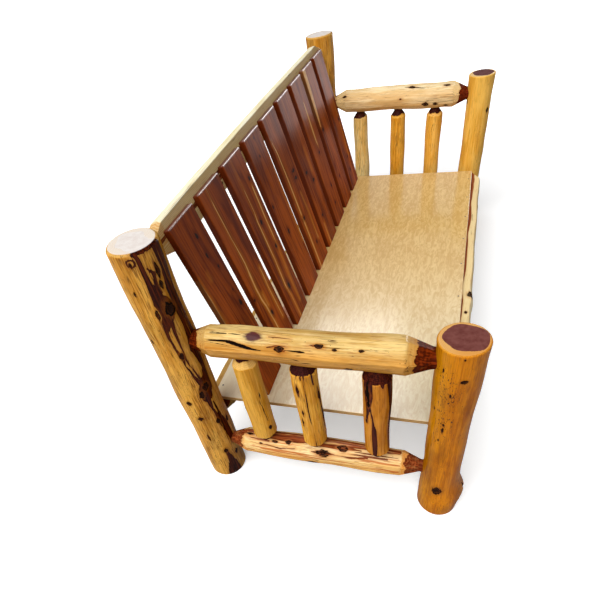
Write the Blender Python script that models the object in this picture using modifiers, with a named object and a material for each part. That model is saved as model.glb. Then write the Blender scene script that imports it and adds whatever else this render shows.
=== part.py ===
import math

import bmesh
import bpy
from mathutils import Euler, Matrix, Vector

# Log sofa: two end frames of peeled cedar logs with hewn tenons, three long rails between
# them, a plywood seat on the two lower rails and a leaning back of nine cedar boards.
# X runs along the sofa, the front faces -Y, Z is up and the floor is at zero.

# Frame layout
END_SPACING = 1.81
FRAME_DEPTH = 0.74
FRONT_POST_HEIGHT = 0.676
BACK_POST_HEIGHT = 0.905
ARM_HEIGHT = 0.613
RIGHT_ARM_DROP = 0.0244
LOWER_END_HEIGHT = 0.1665
SEAT_RAIL_HEIGHT = 0.237
TOP_RAIL_HEIGHT = 0.843
SPINDLE_PLACES = {"left": (0.175, 0.007, -0.185), "right": (0.186, -0.002, -0.176)}
BEARER_OFFSET = 0.28

# Log radii
FRONT_POST_RADIUS = 0.0565
BACK_POST_RADIUS = 0.0640
LEFT_ARM_RADIUS = 0.046
RIGHT_ARM_RADIUS = 0.0505
LOWER_END_RADIUS = 0.041
SPINDLE_RADIUS = 0.0366
TOP_RAIL_RADIUS = 0.0435
FRONT_RAIL_RADIUS = 0.0518
BACK_RAIL_RADIUS = 0.047
BEARER_RADIUS = 0.036

# Hewn ends
LARGE_TENON_RADIUS = 0.0254
SMALL_TENON_RADIUS = 0.0190
TENON_DEPTH = 0.044
SPINDLE_TENON_DEPTH = 0.034
NECK_GAP = 0.004
NECK_STEP = 0.001
NECK_FLARE = 1.06
RAIL_CONE = 0.052
SPINDLE_CONE = 0.022
FACET_PULL = 0.951

# Boards and panel
SLAT_COUNT = 9
SLAT_MARGIN = 0.0443
SLAT_WIDTH = 0.1397
SLAT_THICKNESS = 0.019
SLAT_RISE = 0.0283
SLAT_LEAN = math.radians(14.2)
SLAT_EDGE = 0.006
SLAT_EDGE_STEPS = 3
TOP_FLAT_OFFSET = 0.0185
SEAT_TOP = 0.280
SEAT_THICKNESS = 0.015
SEAT_INSET = 0.0795
SEAT_DEPTH = 0.766
SEAT_EDGE = 0.001
CLEAT_HEIGHT = 0.040
CLEAT_DEPTH = 0.038
CLEAT_INSET = 0.0017

# Taper from end to end and waist at the middle of a log, as shares of its radius
FRONT_POST_WAIST = 0.09
ARM_TAPER = 0.06
LOWER_END_TAPER = -0.02
LOWER_END_WAIST = -0.09
SPINDLE_TAPER = 0.08
TOP_RAIL_WAIST = -0.10
FRONT_RAIL_TAPER = -0.17
BACK_RAIL_TAPER = 0.05

# Swellings over knots: place along the log, height and spread, and the direction they face
ROOT_SWELL = (0.080, 0.018, 0.052)
ROOT_SWELL_TURN = math.radians(-75.6)
BARK_SWELL = (0.025, 0.012, 0.070)
BARK_SWELL_TURN = math.radians(-165.6)
STEM_SWELL = (0.350, 0.006, 0.050)
STEM_SWELL_TURN = math.radians(-54.0)
RAIL_SWELL = (0.680, 0.006, 0.045)
RAIL_SWELL_TURN = math.radians(-90.0)

# Surface of a peeled log: slow waves with their lengths for one radian and their shares
TOUCH_GAP = 0.0003
SWAY = 0.0016
BEND_WAVE_LENGTH = 0.0588
OVAL_WAVE_LENGTH = 0.0345
OVAL_SHARE = 0.6
LOBE_WAVE_LENGTH = 0.25
LOBE_SHARE = 0.4
RING_SPACING = 0.095
NATURAL_FADE = 0.045
POST_END = 0.05
RIM_SHARE = 0.3
FOOT_EASE = 0.002
FRONT_RIM = 0.005
BACK_RIM = 0.009
RAIL_RESOLUTION = 8
SPINDLE_RESOLUTION = 6
CUTTER_SIDES = 24
BORE_TURN = math.radians(4)
SHARP_ANGLE = math.radians(40)
GOLDEN_TURN = 2.399963

# Cutters of the sawn flats
FLAT_CUT_SIZE = 0.2
BACK_FLAT_INSET = 0.007

# Derived places
HALF_SPACING = END_SPACING / 2
HALF_DEPTH = FRAME_DEPTH / 2
FLAT_HEIGHT = SEAT_TOP - SEAT_THICKNESS - TOUCH_GAP
LEAN_SIN = math.sin(SLAT_LEAN)
LEAN_COS = math.cos(SLAT_LEAN)
SLAT_FRONT_OFFSET = TOP_FLAT_OFFSET + TOUCH_GAP + SLAT_THICKNESS
SLAT_FOOT = SEAT_TOP + TOUCH_GAP
SLAT_SPAN = END_SPACING - 2 * (BACK_POST_RADIUS + SLAT_MARGIN)
SLAT_PITCH = (SLAT_SPAN - SLAT_WIDTH) / (SLAT_COUNT - 1)
SLAT_LENGTH = (TOP_RAIL_HEIGHT + SLAT_RISE - SLAT_FOOT) / LEAN_COS
SLAT_RUN = (TOP_RAIL_HEIGHT - SLAT_FOOT) * LEAN_SIN
SLAT_FOOT_Y = HALF_DEPTH - (SLAT_RUN + SLAT_FRONT_OFFSET) / LEAN_COS
SEAT_LENGTH = END_SPACING - 2 * SEAT_INSET
CLEAT_LENGTH = SLAT_SPAN - 2 * CLEAT_INSET

ALONG_X = Euler((0.0, math.pi / 2, 0.0))
ALONG_Y = Euler((-math.pi / 2, 0.0, 0.0))
ALONG_Z = Euler((0.0, 0.0, 0.0))


def new_collection(name):
    collection = bpy.data.collections.new(name)
    bpy.context.scene.collection.children.link(collection)
    return collection


def principled(name, colour, roughness):
    material = bpy.data.materials.new(name)
    material.use_nodes = True
    shader = material.node_tree.nodes["Principled BSDF"]
    shader.inputs["Base Color"].default_value = (*colour, 1.0)
    shader.inputs["Roughness"].default_value = roughness
    shader.inputs["Metallic"].default_value = 0.0
    return material


def add_part(name, mesh, material, location=(0.0, 0.0, 0.0), turn=ALONG_Z):
    part = bpy.data.objects.new(name, mesh)
    part.location = location
    part.rotation_euler = turn
    part.data.materials.clear()
    part.data.materials.append(material)
    parts.objects.link(part)
    return part


def add_cutter(name, mesh, location, turn=ALONG_Z):
    cutter = bpy.data.objects.new(name, mesh)
    cutter.location = location
    cutter.rotation_euler = turn
    cutter.hide_render = True
    cutter.display_type = "WIRE"
    cutters.objects.link(cutter)
    return cutter


def cut(part, cutter):
    boolean = part.modifiers.new(cutter.name, "BOOLEAN")
    boolean.operation = "DIFFERENCE"
    boolean.object = cutter


def box_mesh(name, size):
    mesh = bpy.data.meshes.new(name)
    shape = bmesh.new()
    bmesh.ops.create_cube(shape, size=1.0)
    bmesh.ops.scale(shape, vec=Vector(size), verts=shape.verts)
    shape.to_mesh(mesh)
    shape.free()
    return mesh


# The corners of a cutter stand out so that its flats keep the gap to the tenon, and the
# cutter is turned a little about its axis so that its corners miss the ridges of the logs.
def bore_cutter(name, radius, length, location, turn):
    mesh = bpy.data.meshes.new(name)
    shape = bmesh.new()
    reach = (radius + TOUCH_GAP) / math.cos(math.pi / CUTTER_SIDES)
    bmesh.ops.create_cone(
        shape,
        cap_ends=True,
        segments=CUTTER_SIDES,
        radius1=reach,
        radius2=reach,
        depth=length + 2 * TOUCH_GAP,
        matrix=Matrix.Rotation(BORE_TURN, 4, "Z"),
    )
    shape.to_mesh(mesh)
    shape.free()
    return add_cutter(name, mesh, location, turn)


# A log starts as a straight curve along Z whose points carry the radius.
def log_blank(name, stations, resolution):
    curve = bpy.data.curves.new(name, "CURVE")
    curve.dimensions = "3D"
    curve.bevel_depth = 1.0
    curve.bevel_resolution = resolution
    curve.use_fill_caps = True
    spline = curve.splines.new("POLY")
    spline.points.add(len(stations) - 1)
    for point, (along, radius) in zip(spline.points, stations):
        point.co = (0.0, 0.0, along, 1.0)
        point.radius = radius
    blank = bpy.data.objects.new(name, curve)
    parts.objects.link(blank)
    evaluated = blank.evaluated_get(bpy.context.evaluated_depsgraph_get())
    mesh = bpy.data.meshes.new_from_object(evaluated)
    bpy.data.objects.remove(blank)
    return mesh


def smooth_step(value):
    value = min(max(value, 0.0), 1.0)
    return value * value * (3 - 2 * value)


# Growth of a peeled log: slow waves of the surface along and around the stem.
def growth(along, angle, seed):
    phase = [seed * GOLDEN_TURN * order for order in range(1, 6)]
    bend = math.sin(along / BEND_WAVE_LENGTH + phase[0]) * math.cos(angle - phase[1])
    oval = OVAL_SHARE * math.sin(along / OVAL_WAVE_LENGTH + phase[2]) * math.cos(2 * angle - phase[3])
    lobes = LOBE_SHARE * math.cos(3 * angle - phase[4] - along / LOBE_WAVE_LENGTH)
    return SWAY * (bend + oval + lobes)


# Swellings over knots: each fades evenly from its place along and around the log.
def swelling(along, angle, radius, swells):
    total = 0.0
    for (place, height, spread), direction in swells:
        around = math.remainder(angle - direction, math.tau) * radius
        total += height * math.exp(-((along - place) ** 2 + around**2) / spread**2)
    return total


# Natural surface between the hewn ends, and alternate corners drawn in on the hewn cones.
def peeled_log(name, stations, resolution, natural, seed, hewn=(), swells=()):
    mesh = log_blank(name, stations, resolution)
    shape = bmesh.new()
    shape.from_mesh(mesh)
    bmesh.ops.remove_doubles(shape, verts=shape.verts, dist=1e-5)
    shape.verts.ensure_lookup_table()
    first = math.atan2(shape.verts[0].co.y, shape.verts[0].co.x)
    step = math.tau / (4 + 2 * resolution)
    start, end = natural
    for vertex in shape.verts:
        along = vertex.co.z
        radius = math.hypot(vertex.co.x, vertex.co.y)
        angle = math.atan2(vertex.co.y, vertex.co.x)
        inside = smooth_step(min(along - start, end - along) / NATURAL_FADE)
        target = radius + inside * growth(along, angle, seed) + swelling(along, angle, radius, swells)
        if any(abs(along - place) < 1e-4 for place in hewn) and round((angle - first) / step) % 2:
            target *= FACET_PULL
        vertex.co.x *= target / radius
        vertex.co.y *= target / radius
    bmesh.ops.recalc_face_normals(shape, faces=shape.faces)
    shape.to_mesh(mesh)
    shape.free()
    mesh.shade_smooth()
    mesh.set_sharp_from_angle(angle=SHARP_ANGLE)
    return mesh


# Radii along a natural stretch: an even taper from end to end, and a waist at the middle.
def body_stations(start, end, radius, taper, waist):
    rings = max(2, round((end - start) / RING_SPACING))
    stations = []
    for ring in range(rings + 1):
        share = ring / rings
        swell = taper * (0.5 - share) - waist * (1 - (2 * share - 1) ** 2)
        stations.append((start + (end - start) * share, radius * (1 + swell)))
    return stations


# A rail or spindle: round tenon, hewn cone and natural body, and the same again at the other end.
def tenoned_log(
    name, length, radius, tenon_radius, tenon_depth, cone, resolution, seed, taper=0.0, waist=0.0, swells=()
):
    neck = tenon_depth + NECK_GAP
    shoulder = neck + cone
    flare = neck + NECK_STEP
    end_a = [(0.0, tenon_radius), (neck, tenon_radius), (flare, tenon_radius * NECK_FLARE)]
    end_b = [(length - along, end_radius) for along, end_radius in reversed(end_a)]
    body = body_stations(shoulder, length - shoulder, radius, taper, waist)
    hewn = (flare, shoulder, length - shoulder, length - flare)
    natural = (shoulder, length - shoulder)
    return peeled_log(name, end_a + body + end_b, resolution, natural, seed, hewn, swells)


# An upright post: eased foot, natural stem and a top with a rounded rim.
def post_log(name, height, radius, rim, seed, waist, swells=()):
    foot = [(0.0, radius - FOOT_EASE), (FOOT_EASE, radius)]
    stem = body_stations(POST_END, height - POST_END, radius, 0.0, waist)
    ease = RIM_SHARE * rim
    top = [(height - rim, radius), (height - ease, radius - ease), (height, radius - rim)]
    return peeled_log(name, foot + stem + top, RAIL_RESOLUTION, (0.0, height), seed, (), swells)


# A board with its foot cut level to stand on the seat and its edges rounded over.
def slat_mesh(name):
    top_y = SLAT_LENGTH * LEAN_SIN
    top_z = SLAT_LENGTH * LEAN_COS
    back_y = top_y + SLAT_THICKNESS * LEAN_COS
    back_z = top_z - SLAT_THICKNESS * LEAN_SIN
    outline = [
        (0.0, 0.0),
        (top_y, top_z),
        (back_y, back_z),
        (SLAT_THICKNESS / LEAN_COS, 0.0),
    ]
    return prism_mesh(name, outline, SLAT_WIDTH)


# A strip behind the boards whose front leans with them.
def cleat_mesh(name):
    lean = CLEAT_HEIGHT * LEAN_SIN / LEAN_COS
    back = lean + CLEAT_DEPTH
    outline = [(0.0, 0.0), (lean, CLEAT_HEIGHT), (back, CLEAT_HEIGHT), (back, 0.0)]
    return prism_mesh(name, outline, CLEAT_LENGTH)


# An outline in the YZ plane drawn out along X, centred on X.
def prism_mesh(name, outline, length):
    mesh = bpy.data.meshes.new(name)
    shape = bmesh.new()
    corners = [shape.verts.new((-length / 2, y, z)) for y, z in outline]
    side = shape.faces.new(corners)
    grown = bmesh.ops.extrude_face_region(shape, geom=[side])
    moved = [item for item in grown["geom"] if isinstance(item, bmesh.types.BMVert)]
    bmesh.ops.translate(shape, vec=Vector((length, 0.0, 0.0)), verts=moved)
    bmesh.ops.recalc_face_normals(shape, faces=shape.faces)
    shape.to_mesh(mesh)
    shape.free()
    return mesh


def round_edges(part, width, segments):
    bevel = part.modifiers.new("rounded_edges", "BEVEL")
    bevel.width = width
    bevel.segments = segments
    bevel.limit_method = "ANGLE"


for old in list(bpy.data.objects):
    bpy.data.objects.remove(old)
parts = new_collection("log_sofa")
cutters = new_collection("cutters")

post_wood = principled("post_wood", (0.55, 0.29, 0.08), 0.35)
rail_wood = principled("rail_wood", (0.80, 0.60, 0.28), 0.35)
spindle_wood = principled("spindle_wood", (0.58, 0.33, 0.10), 0.35)
board_wood = principled("board_wood", (0.20, 0.06, 0.025), 0.28)
cleat_wood = principled("cleat_wood", (0.52, 0.27, 0.17), 0.5)
plywood = principled("plywood", (0.78, 0.60, 0.36), 0.45)

# Cutters shared by the pieces that a flat sawn face runs through
seat_flat = add_cutter(
    "seat_flat",
    box_mesh("seat_flat", (END_SPACING - 2 * BACK_POST_RADIUS, 2 * FRAME_DEPTH, FLAT_CUT_SIZE)),
    (0.0, 0.0, FLAT_HEIGHT + FLAT_CUT_SIZE / 2),
)
back_flat_reach = TOP_FLAT_OFFSET + FLAT_CUT_SIZE / 2
back_flat_length = END_SPACING - 2 * (BACK_POST_RADIUS + BACK_FLAT_INSET)
back_flat = add_cutter(
    "back_flat",
    box_mesh("back_flat", (back_flat_length, FLAT_CUT_SIZE, FLAT_CUT_SIZE)),
    (0.0, HALF_DEPTH - back_flat_reach * LEAN_COS, TOP_RAIL_HEIGHT + back_flat_reach * LEAN_SIN),
    Euler((-SLAT_LEAN, 0.0, 0.0)),
)

# Posts of the two end frames
knot_swells = {
    "left": [(ROOT_SWELL, ROOT_SWELL_TURN), (BARK_SWELL, BARK_SWELL_TURN)],
    "right": [(STEM_SWELL, STEM_SWELL_TURN)],
}
posts = {}
for side, sign in (("left", -1), ("right", 1)):
    seed = 3 + sign
    front_mesh = post_log(
        f"front_post_{side}",
        FRONT_POST_HEIGHT,
        FRONT_POST_RADIUS,
        FRONT_RIM,
        seed,
        FRONT_POST_WAIST,
        knot_swells[side],
    )
    back_mesh = post_log(f"back_post_{side}", BACK_POST_HEIGHT, BACK_POST_RADIUS, BACK_RIM, seed + 1, 0.0)
    posts["front", side] = add_part(
        f"front_post_{side}", front_mesh, post_wood, (sign * HALF_SPACING, -HALF_DEPTH, 0.0)
    )
    posts["back", side] = add_part(
        f"back_post_{side}", back_mesh, post_wood, (sign * HALF_SPACING, HALF_DEPTH, 0.0)
    )

# Arm rails and lower end rails between the posts, with spindles between the rails
end_reach_front = HALF_DEPTH - FRONT_POST_RADIUS + TENON_DEPTH
end_reach_back = HALF_DEPTH - BACK_POST_RADIUS + TENON_DEPTH
end_length = end_reach_front + end_reach_back
end_middle = (end_reach_back - end_reach_front) / 2
spindle_base = LOWER_END_HEIGHT + LOWER_END_RADIUS - SPINDLE_TENON_DEPTH
for side, sign, arm_radius, arm_drop in (
    ("left", -1, LEFT_ARM_RADIUS, 0.0),
    ("right", 1, RIGHT_ARM_RADIUS, RIGHT_ARM_DROP),
):
    end_x = sign * HALF_SPACING
    end_rails = []
    for name, height, drop, radius, tenon_radius, seed, taper, waist in (
        (f"arm_rail_{side}", ARM_HEIGHT, arm_drop, arm_radius, LARGE_TENON_RADIUS, 6 + sign, ARM_TAPER, 0.0),
        (
            f"lower_end_rail_{side}",
            LOWER_END_HEIGHT,
            0.0,
            LOWER_END_RADIUS,
            SMALL_TENON_RADIUS,
            10 + sign,
            LOWER_END_TAPER,
            LOWER_END_WAIST,
        ),
    ):
        tilt = math.atan(drop / FRAME_DEPTH)
        rail_length = end_length / math.cos(tilt)
        rail_turn = Euler((tilt - math.pi / 2, 0.0, 0.0))
        mesh = tenoned_log(
            name,
            rail_length,
            radius,
            tenon_radius,
            TENON_DEPTH,
            RAIL_CONE,
            RAIL_RESOLUTION,
            seed,
            taper,
            waist,
        )
        front_height = height - end_reach_front * math.tan(tilt)
        rail = add_part(name, mesh, rail_wood, (end_x, -end_reach_front, front_height), rail_turn)
        end_rails.append(rail)
        place = (end_x, end_middle, height + end_middle * math.tan(tilt))
        bore = bore_cutter(f"bore_{name}", tenon_radius, rail_length, place, rail_turn)
        cut(posts["front", side], bore)
        cut(posts["back", side], bore)
    for number, spindle_y in enumerate(SPINDLE_PLACES[side], start=1):
        name = f"spindle_{side}_{number}"
        arm_under = ARM_HEIGHT + spindle_y * arm_drop / FRAME_DEPTH - arm_radius
        spindle_length = arm_under + SPINDLE_TENON_DEPTH - spindle_base
        mesh = tenoned_log(
            name,
            spindle_length,
            SPINDLE_RADIUS,
            SMALL_TENON_RADIUS,
            SPINDLE_TENON_DEPTH,
            SPINDLE_CONE,
            SPINDLE_RESOLUTION,
            14 + number + 3 * sign,
            SPINDLE_TAPER * (2 - number),
        )
        add_part(name, mesh, spindle_wood, (end_x, spindle_y, spindle_base))
        middle = spindle_base + spindle_length / 2
        place = (end_x, spindle_y, middle)
        bore = bore_cutter(f"bore_{name}", SMALL_TENON_RADIUS, spindle_length, place, ALONG_Z)
        for rail in end_rails:
            cut(rail, bore)

# Long rails between the two end frames
long_rails = {}
for name, row, height, radius, post_radius, seed, taper, waist, swells in (
    ("top_back_rail", "back", TOP_RAIL_HEIGHT, TOP_RAIL_RADIUS, BACK_POST_RADIUS, 21, 0.0, TOP_RAIL_WAIST, ()),
    (
        "lower_back_rail",
        "back",
        SEAT_RAIL_HEIGHT,
        BACK_RAIL_RADIUS,
        BACK_POST_RADIUS,
        22,
        BACK_RAIL_TAPER,
        0.0,
        (),
    ),
    (
        "front_seat_rail",
        "front",
        SEAT_RAIL_HEIGHT,
        FRONT_RAIL_RADIUS,
        FRONT_POST_RADIUS,
        23,
        FRONT_RAIL_TAPER,
        0.0,
        [(RAIL_SWELL, RAIL_SWELL_TURN)],
    ),
):
    reach = HALF_SPACING - post_radius + TENON_DEPTH
    rail_y = HALF_DEPTH if row == "back" else -HALF_DEPTH
    mesh = tenoned_log(
        name,
        2 * reach,
        radius,
        LARGE_TENON_RADIUS,
        TENON_DEPTH,
        RAIL_CONE,
        RAIL_RESOLUTION,
        seed,
        taper,
        waist,
        swells,
    )
    long_rails[name] = add_part(name, mesh, rail_wood, (-reach, rail_y, height), ALONG_X)
    bore = bore_cutter(f"bore_{name}", LARGE_TENON_RADIUS, 2 * reach, (0.0, rail_y, height), ALONG_X)
    for side in ("left", "right"):
        cut(posts[row, side], bore)
cut(long_rails["top_back_rail"], back_flat)
cut(long_rails["lower_back_rail"], seat_flat)
cut(long_rails["front_seat_rail"], seat_flat)

# Bearers under the seat, tenoned into the front and back rails
bearer_front = HALF_DEPTH - FRONT_RAIL_RADIUS + SPINDLE_TENON_DEPTH
bearer_back = HALF_DEPTH - BACK_RAIL_RADIUS + SPINDLE_TENON_DEPTH
bearer_length = bearer_front + bearer_back
bearer_middle = (bearer_back - bearer_front) / 2
for side, sign in (("left", -1), ("right", 1)):
    name = f"seat_bearer_{side}"
    bearer_x = sign * BEARER_OFFSET
    mesh = tenoned_log(
        name,
        bearer_length,
        BEARER_RADIUS,
        SMALL_TENON_RADIUS,
        SPINDLE_TENON_DEPTH,
        SPINDLE_CONE,
        SPINDLE_RESOLUTION,
        26 + sign,
    )
    bearer = add_part(name, mesh, rail_wood, (bearer_x, -bearer_front, SEAT_RAIL_HEIGHT), ALONG_Y)
    cut(bearer, seat_flat)
    place = (bearer_x, bearer_middle, SEAT_RAIL_HEIGHT)
    bore = bore_cutter(f"bore_{name}", SMALL_TENON_RADIUS, bearer_length, place, ALONG_Y)
    cut(long_rails["front_seat_rail"], bore)
    cut(long_rails["lower_back_rail"], bore)

# Plywood seat on the sawn flats of the rails
seat = add_part(
    "seat_panel",
    box_mesh("seat_panel", (SEAT_LENGTH, SEAT_DEPTH, SEAT_THICKNESS)),
    plywood,
    (0.0, 0.0, SEAT_TOP - SEAT_THICKNESS / 2),
)
round_edges(seat, SEAT_EDGE, 1)

# Back boards standing on the seat against the top rail, and the cleat behind their feet
for number in range(1, SLAT_COUNT + 1):
    name = f"back_slat_{number}"
    slat_x = SLAT_PITCH * (number - (SLAT_COUNT + 1) / 2)
    slat = add_part(name, slat_mesh(name), board_wood, (slat_x, SLAT_FOOT_Y, SLAT_FOOT))
    round_edges(slat, SLAT_EDGE, SLAT_EDGE_STEPS)
cleat_y = SLAT_FOOT_Y + (SLAT_THICKNESS + TOUCH_GAP) / LEAN_COS
add_part("slat_cleat", cleat_mesh("slat_cleat"), cleat_wood, (0.0, cleat_y, SLAT_FOOT))
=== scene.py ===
import math
from functools import partial
from types import SimpleNamespace

import bpy
import numpy as np
from mathutils import Matrix, Vector


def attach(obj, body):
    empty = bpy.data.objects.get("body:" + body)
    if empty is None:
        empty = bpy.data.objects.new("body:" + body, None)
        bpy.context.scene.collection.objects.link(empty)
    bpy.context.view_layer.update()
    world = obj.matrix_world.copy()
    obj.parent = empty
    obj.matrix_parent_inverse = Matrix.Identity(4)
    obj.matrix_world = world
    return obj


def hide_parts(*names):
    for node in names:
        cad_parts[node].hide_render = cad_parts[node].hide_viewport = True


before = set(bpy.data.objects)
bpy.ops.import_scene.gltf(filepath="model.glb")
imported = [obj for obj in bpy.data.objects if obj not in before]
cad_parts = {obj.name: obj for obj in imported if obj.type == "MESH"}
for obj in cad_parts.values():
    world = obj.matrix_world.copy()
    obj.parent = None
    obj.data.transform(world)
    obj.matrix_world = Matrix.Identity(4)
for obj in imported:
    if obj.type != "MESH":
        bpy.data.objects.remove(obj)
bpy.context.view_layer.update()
scene = bpy.context.scene
print("frame loaded:", len(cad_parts), "nodes")

# Camera at the picture's viewpoint: right, down and ahead are its axes in the sofa's frame
pictureView = {
    "place": (-1.6903, -0.3144, 1.3622),
    "right": (0.297555, -0.938354, -0.175933),
    "down": (-0.74909, -0.115225, -0.652371),
    "ahead": (0.591883, 0.325906, -0.737197),
    "lens": 26.806,
    "sensor": 36.0,
    "shift": (0.04347, 0.16935),
}
cameraData = bpy.data.cameras.new("picture_view")
cameraData.lens = pictureView["lens"]
cameraData.sensor_width = pictureView["sensor"]
cameraData.shift_x, cameraData.shift_y = pictureView["shift"]
camera = bpy.data.objects.new("picture_view", cameraData)
scene.collection.objects.link(camera)
axes = np.array([pictureView["right"], pictureView["down"], pictureView["ahead"]]) * [[1], [-1], [-1]]
camera.matrix_world = Matrix.Translation(pictureView["place"]) @ Matrix(axes.T.tolist()).to_4x4()
scene.camera = camera
print("camera placed")


# Shader helpers: the tree is found from a socket among the values; a socket is linked, a plain value is set
def treeOf(*values):
    return next(value.id_data for value in values if isinstance(value, bpy.types.NodeSocket))


def feed(socket, value):
    if isinstance(value, bpy.types.NodeSocket):
        socket.id_data.links.new(value, socket)
    else:
        socket.default_value = (*value, 1.0) if socket.type == "RGBA" else value


def mathOf(operation, *values):
    node = treeOf(*values).nodes.new("ShaderNodeMath")
    node.operation = operation
    for socket, value in zip(node.inputs, values):
        feed(socket, value)
    return node.outputs[0]


plus, minus, times, timesAdd, most, absolute, sine, power = (
    partial(mathOf, operation)
    for operation in ("ADD", "SUBTRACT", "MULTIPLY", "MULTIPLY_ADD", "MAXIMUM", "ABSOLUTE", "SINE", "POWER")
)


def mixOf(share, first, second, blend="MIX"):
    node = treeOf(share, first, second).nodes.new("ShaderNodeMix")
    node.data_type = "RGBA"
    node.blend_type = blend
    for index, value in zip((0, 6, 7), (share, first, second)):
        feed(node.inputs[index], value)
    return node.outputs[2]


def stepOf(value, low, high, start=0.0, end=1.0):
    node = treeOf(value).nodes.new("ShaderNodeMapRange")
    node.interpolation_type = "SMOOTHSTEP"
    names = ("Value", "From Min", "From Max", "To Min", "To Max")
    for name, number in zip(names, (value, low, high, start, end)):
        feed(node.inputs[name], number)
    return node.outputs["Result"]


def noiseOf(vector, stretch, detail=2.0, roughness=0.5, distortion=0.0):
    scaled = treeOf(vector).nodes.new("ShaderNodeVectorMath")
    scaled.operation = "MULTIPLY"
    feed(scaled.inputs[0], vector)
    feed(scaled.inputs[1], stretch)
    node = treeOf(vector).nodes.new("ShaderNodeTexNoise")
    names = ("Vector", "Scale", "Detail", "Roughness", "Distortion")
    for name, value in zip(names, (scaled.outputs[0], 1.0, detail, roughness, distortion)):
        feed(node.inputs[name], value)
    return node.outputs[0]


# Inputs and outputs are lists of names under their kind of socket
def newGroup(name, inputs, outputs):
    tree = bpy.data.node_groups.new(name, "ShaderNodeTree")
    for way, sockets in (("INPUT", inputs), ("OUTPUT", outputs)):
        for kind, titles in sockets.items():
            for title in titles:
                tree.interface.new_socket(title, in_out=way, socket_type="NodeSocket" + kind)
    return tree, tree.nodes.new("NodeGroupInput").outputs, tree.nodes.new("NodeGroupOutput").inputs


def placeGroup(group, **values):
    node = treeOf(*values.values()).nodes.new("ShaderNodeGroup")
    node.node_tree = group
    for title, value in values.items():
        feed(node.inputs[title], value)
    return node.outputs


# Fibres, broad tone and hairline checks that run along the grain, from a vector whose Z is the grain
def makeFibreGroup():
    outputs = {"Float": ["Fibre", "Tone", "Fine", "Check", "Fleck"]}
    tree, given, result = newGroup("wood_fibre", {"Vector": ["Stem"]}, outputs)
    stem = given["Stem"]
    fibre = noiseOf(stem, (210, 210, 7), 4.0, 0.6)
    tone = noiseOf(stem, (26, 26, 5), 3.0, 0.55)
    fine = noiseOf(stem, (760, 760, 46), 2.0)
    line = noiseOf(stem, (95, 95, 2.6), 1.0, 0.4)
    away = absolute(minus(line, 0.5))
    where = noiseOf(stem, (34, 34, 9), 2.0)
    check = times(stepOf(away, 0.004, 0.016, 1.0, 0.0), stepOf(where, 0.56, 0.64))
    dash = noiseOf(stem, (330, 330, 26), 2.0, 0.5)
    gathered = noiseOf(stem, (30, 30, 8), 2.0)
    dash = timesAdd(gathered, 0.35, dash)
    feed(result["Fleck"], stepOf(dash, 0.74, 0.84))
    feed(result["Fibre"], stepOf(fibre, 0.28, 0.72))
    feed(result["Tone"], stepOf(tone, 0.32, 0.68))
    feed(result["Fine"], fine)
    feed(result["Check"], check)
    return tree


# Masks of knots from a distance that is 1 at a knot's edge: dark core, black ring and stained halo
def makeKnotGroup():
    inputs = {"Vector": ["Stem"], "Float": ["Knot", "Ragged"]}
    tree, given, result = newGroup("knot_marks", inputs, {"Float": ["Core", "Ring", "Halo"]})
    ragged = noiseOf(given["Stem"], (170, 170, 70), 2.0)
    moved = timesAdd(minus(ragged, 0.5), given["Ragged"], given["Knot"])
    feed(result["Core"], stepOf(moved, 0.55, 0.95, 1.0, 0.0))
    away = absolute(minus(moved, 0.92))
    feed(result["Ring"], stepOf(away, 0.08, 0.34, 1.0, 0.0))
    feed(result["Halo"], stepOf(moved, 0.9, 2.3, 1.0, 0.0))
    return tree


fibreGroup = makeFibreGroup()
knotGroup = makeKnotGroup()

# What the log finishes are made of: fields of the surface, colours and strengths
surfaceFields = ["Depth", "Heart", "Pit", "Knot", "Branch", "Specks", "Amber", "End"]
finishColors = ["Sap Light", "Sap Dark", "Stain", "Heart Red", "Heart Dark", "Cut", "End Sap", "End Heart", "End Dark"]
finishValues = ["Streaks", "Mottle", "Jag", "Checks", "Flecks"]


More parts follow.
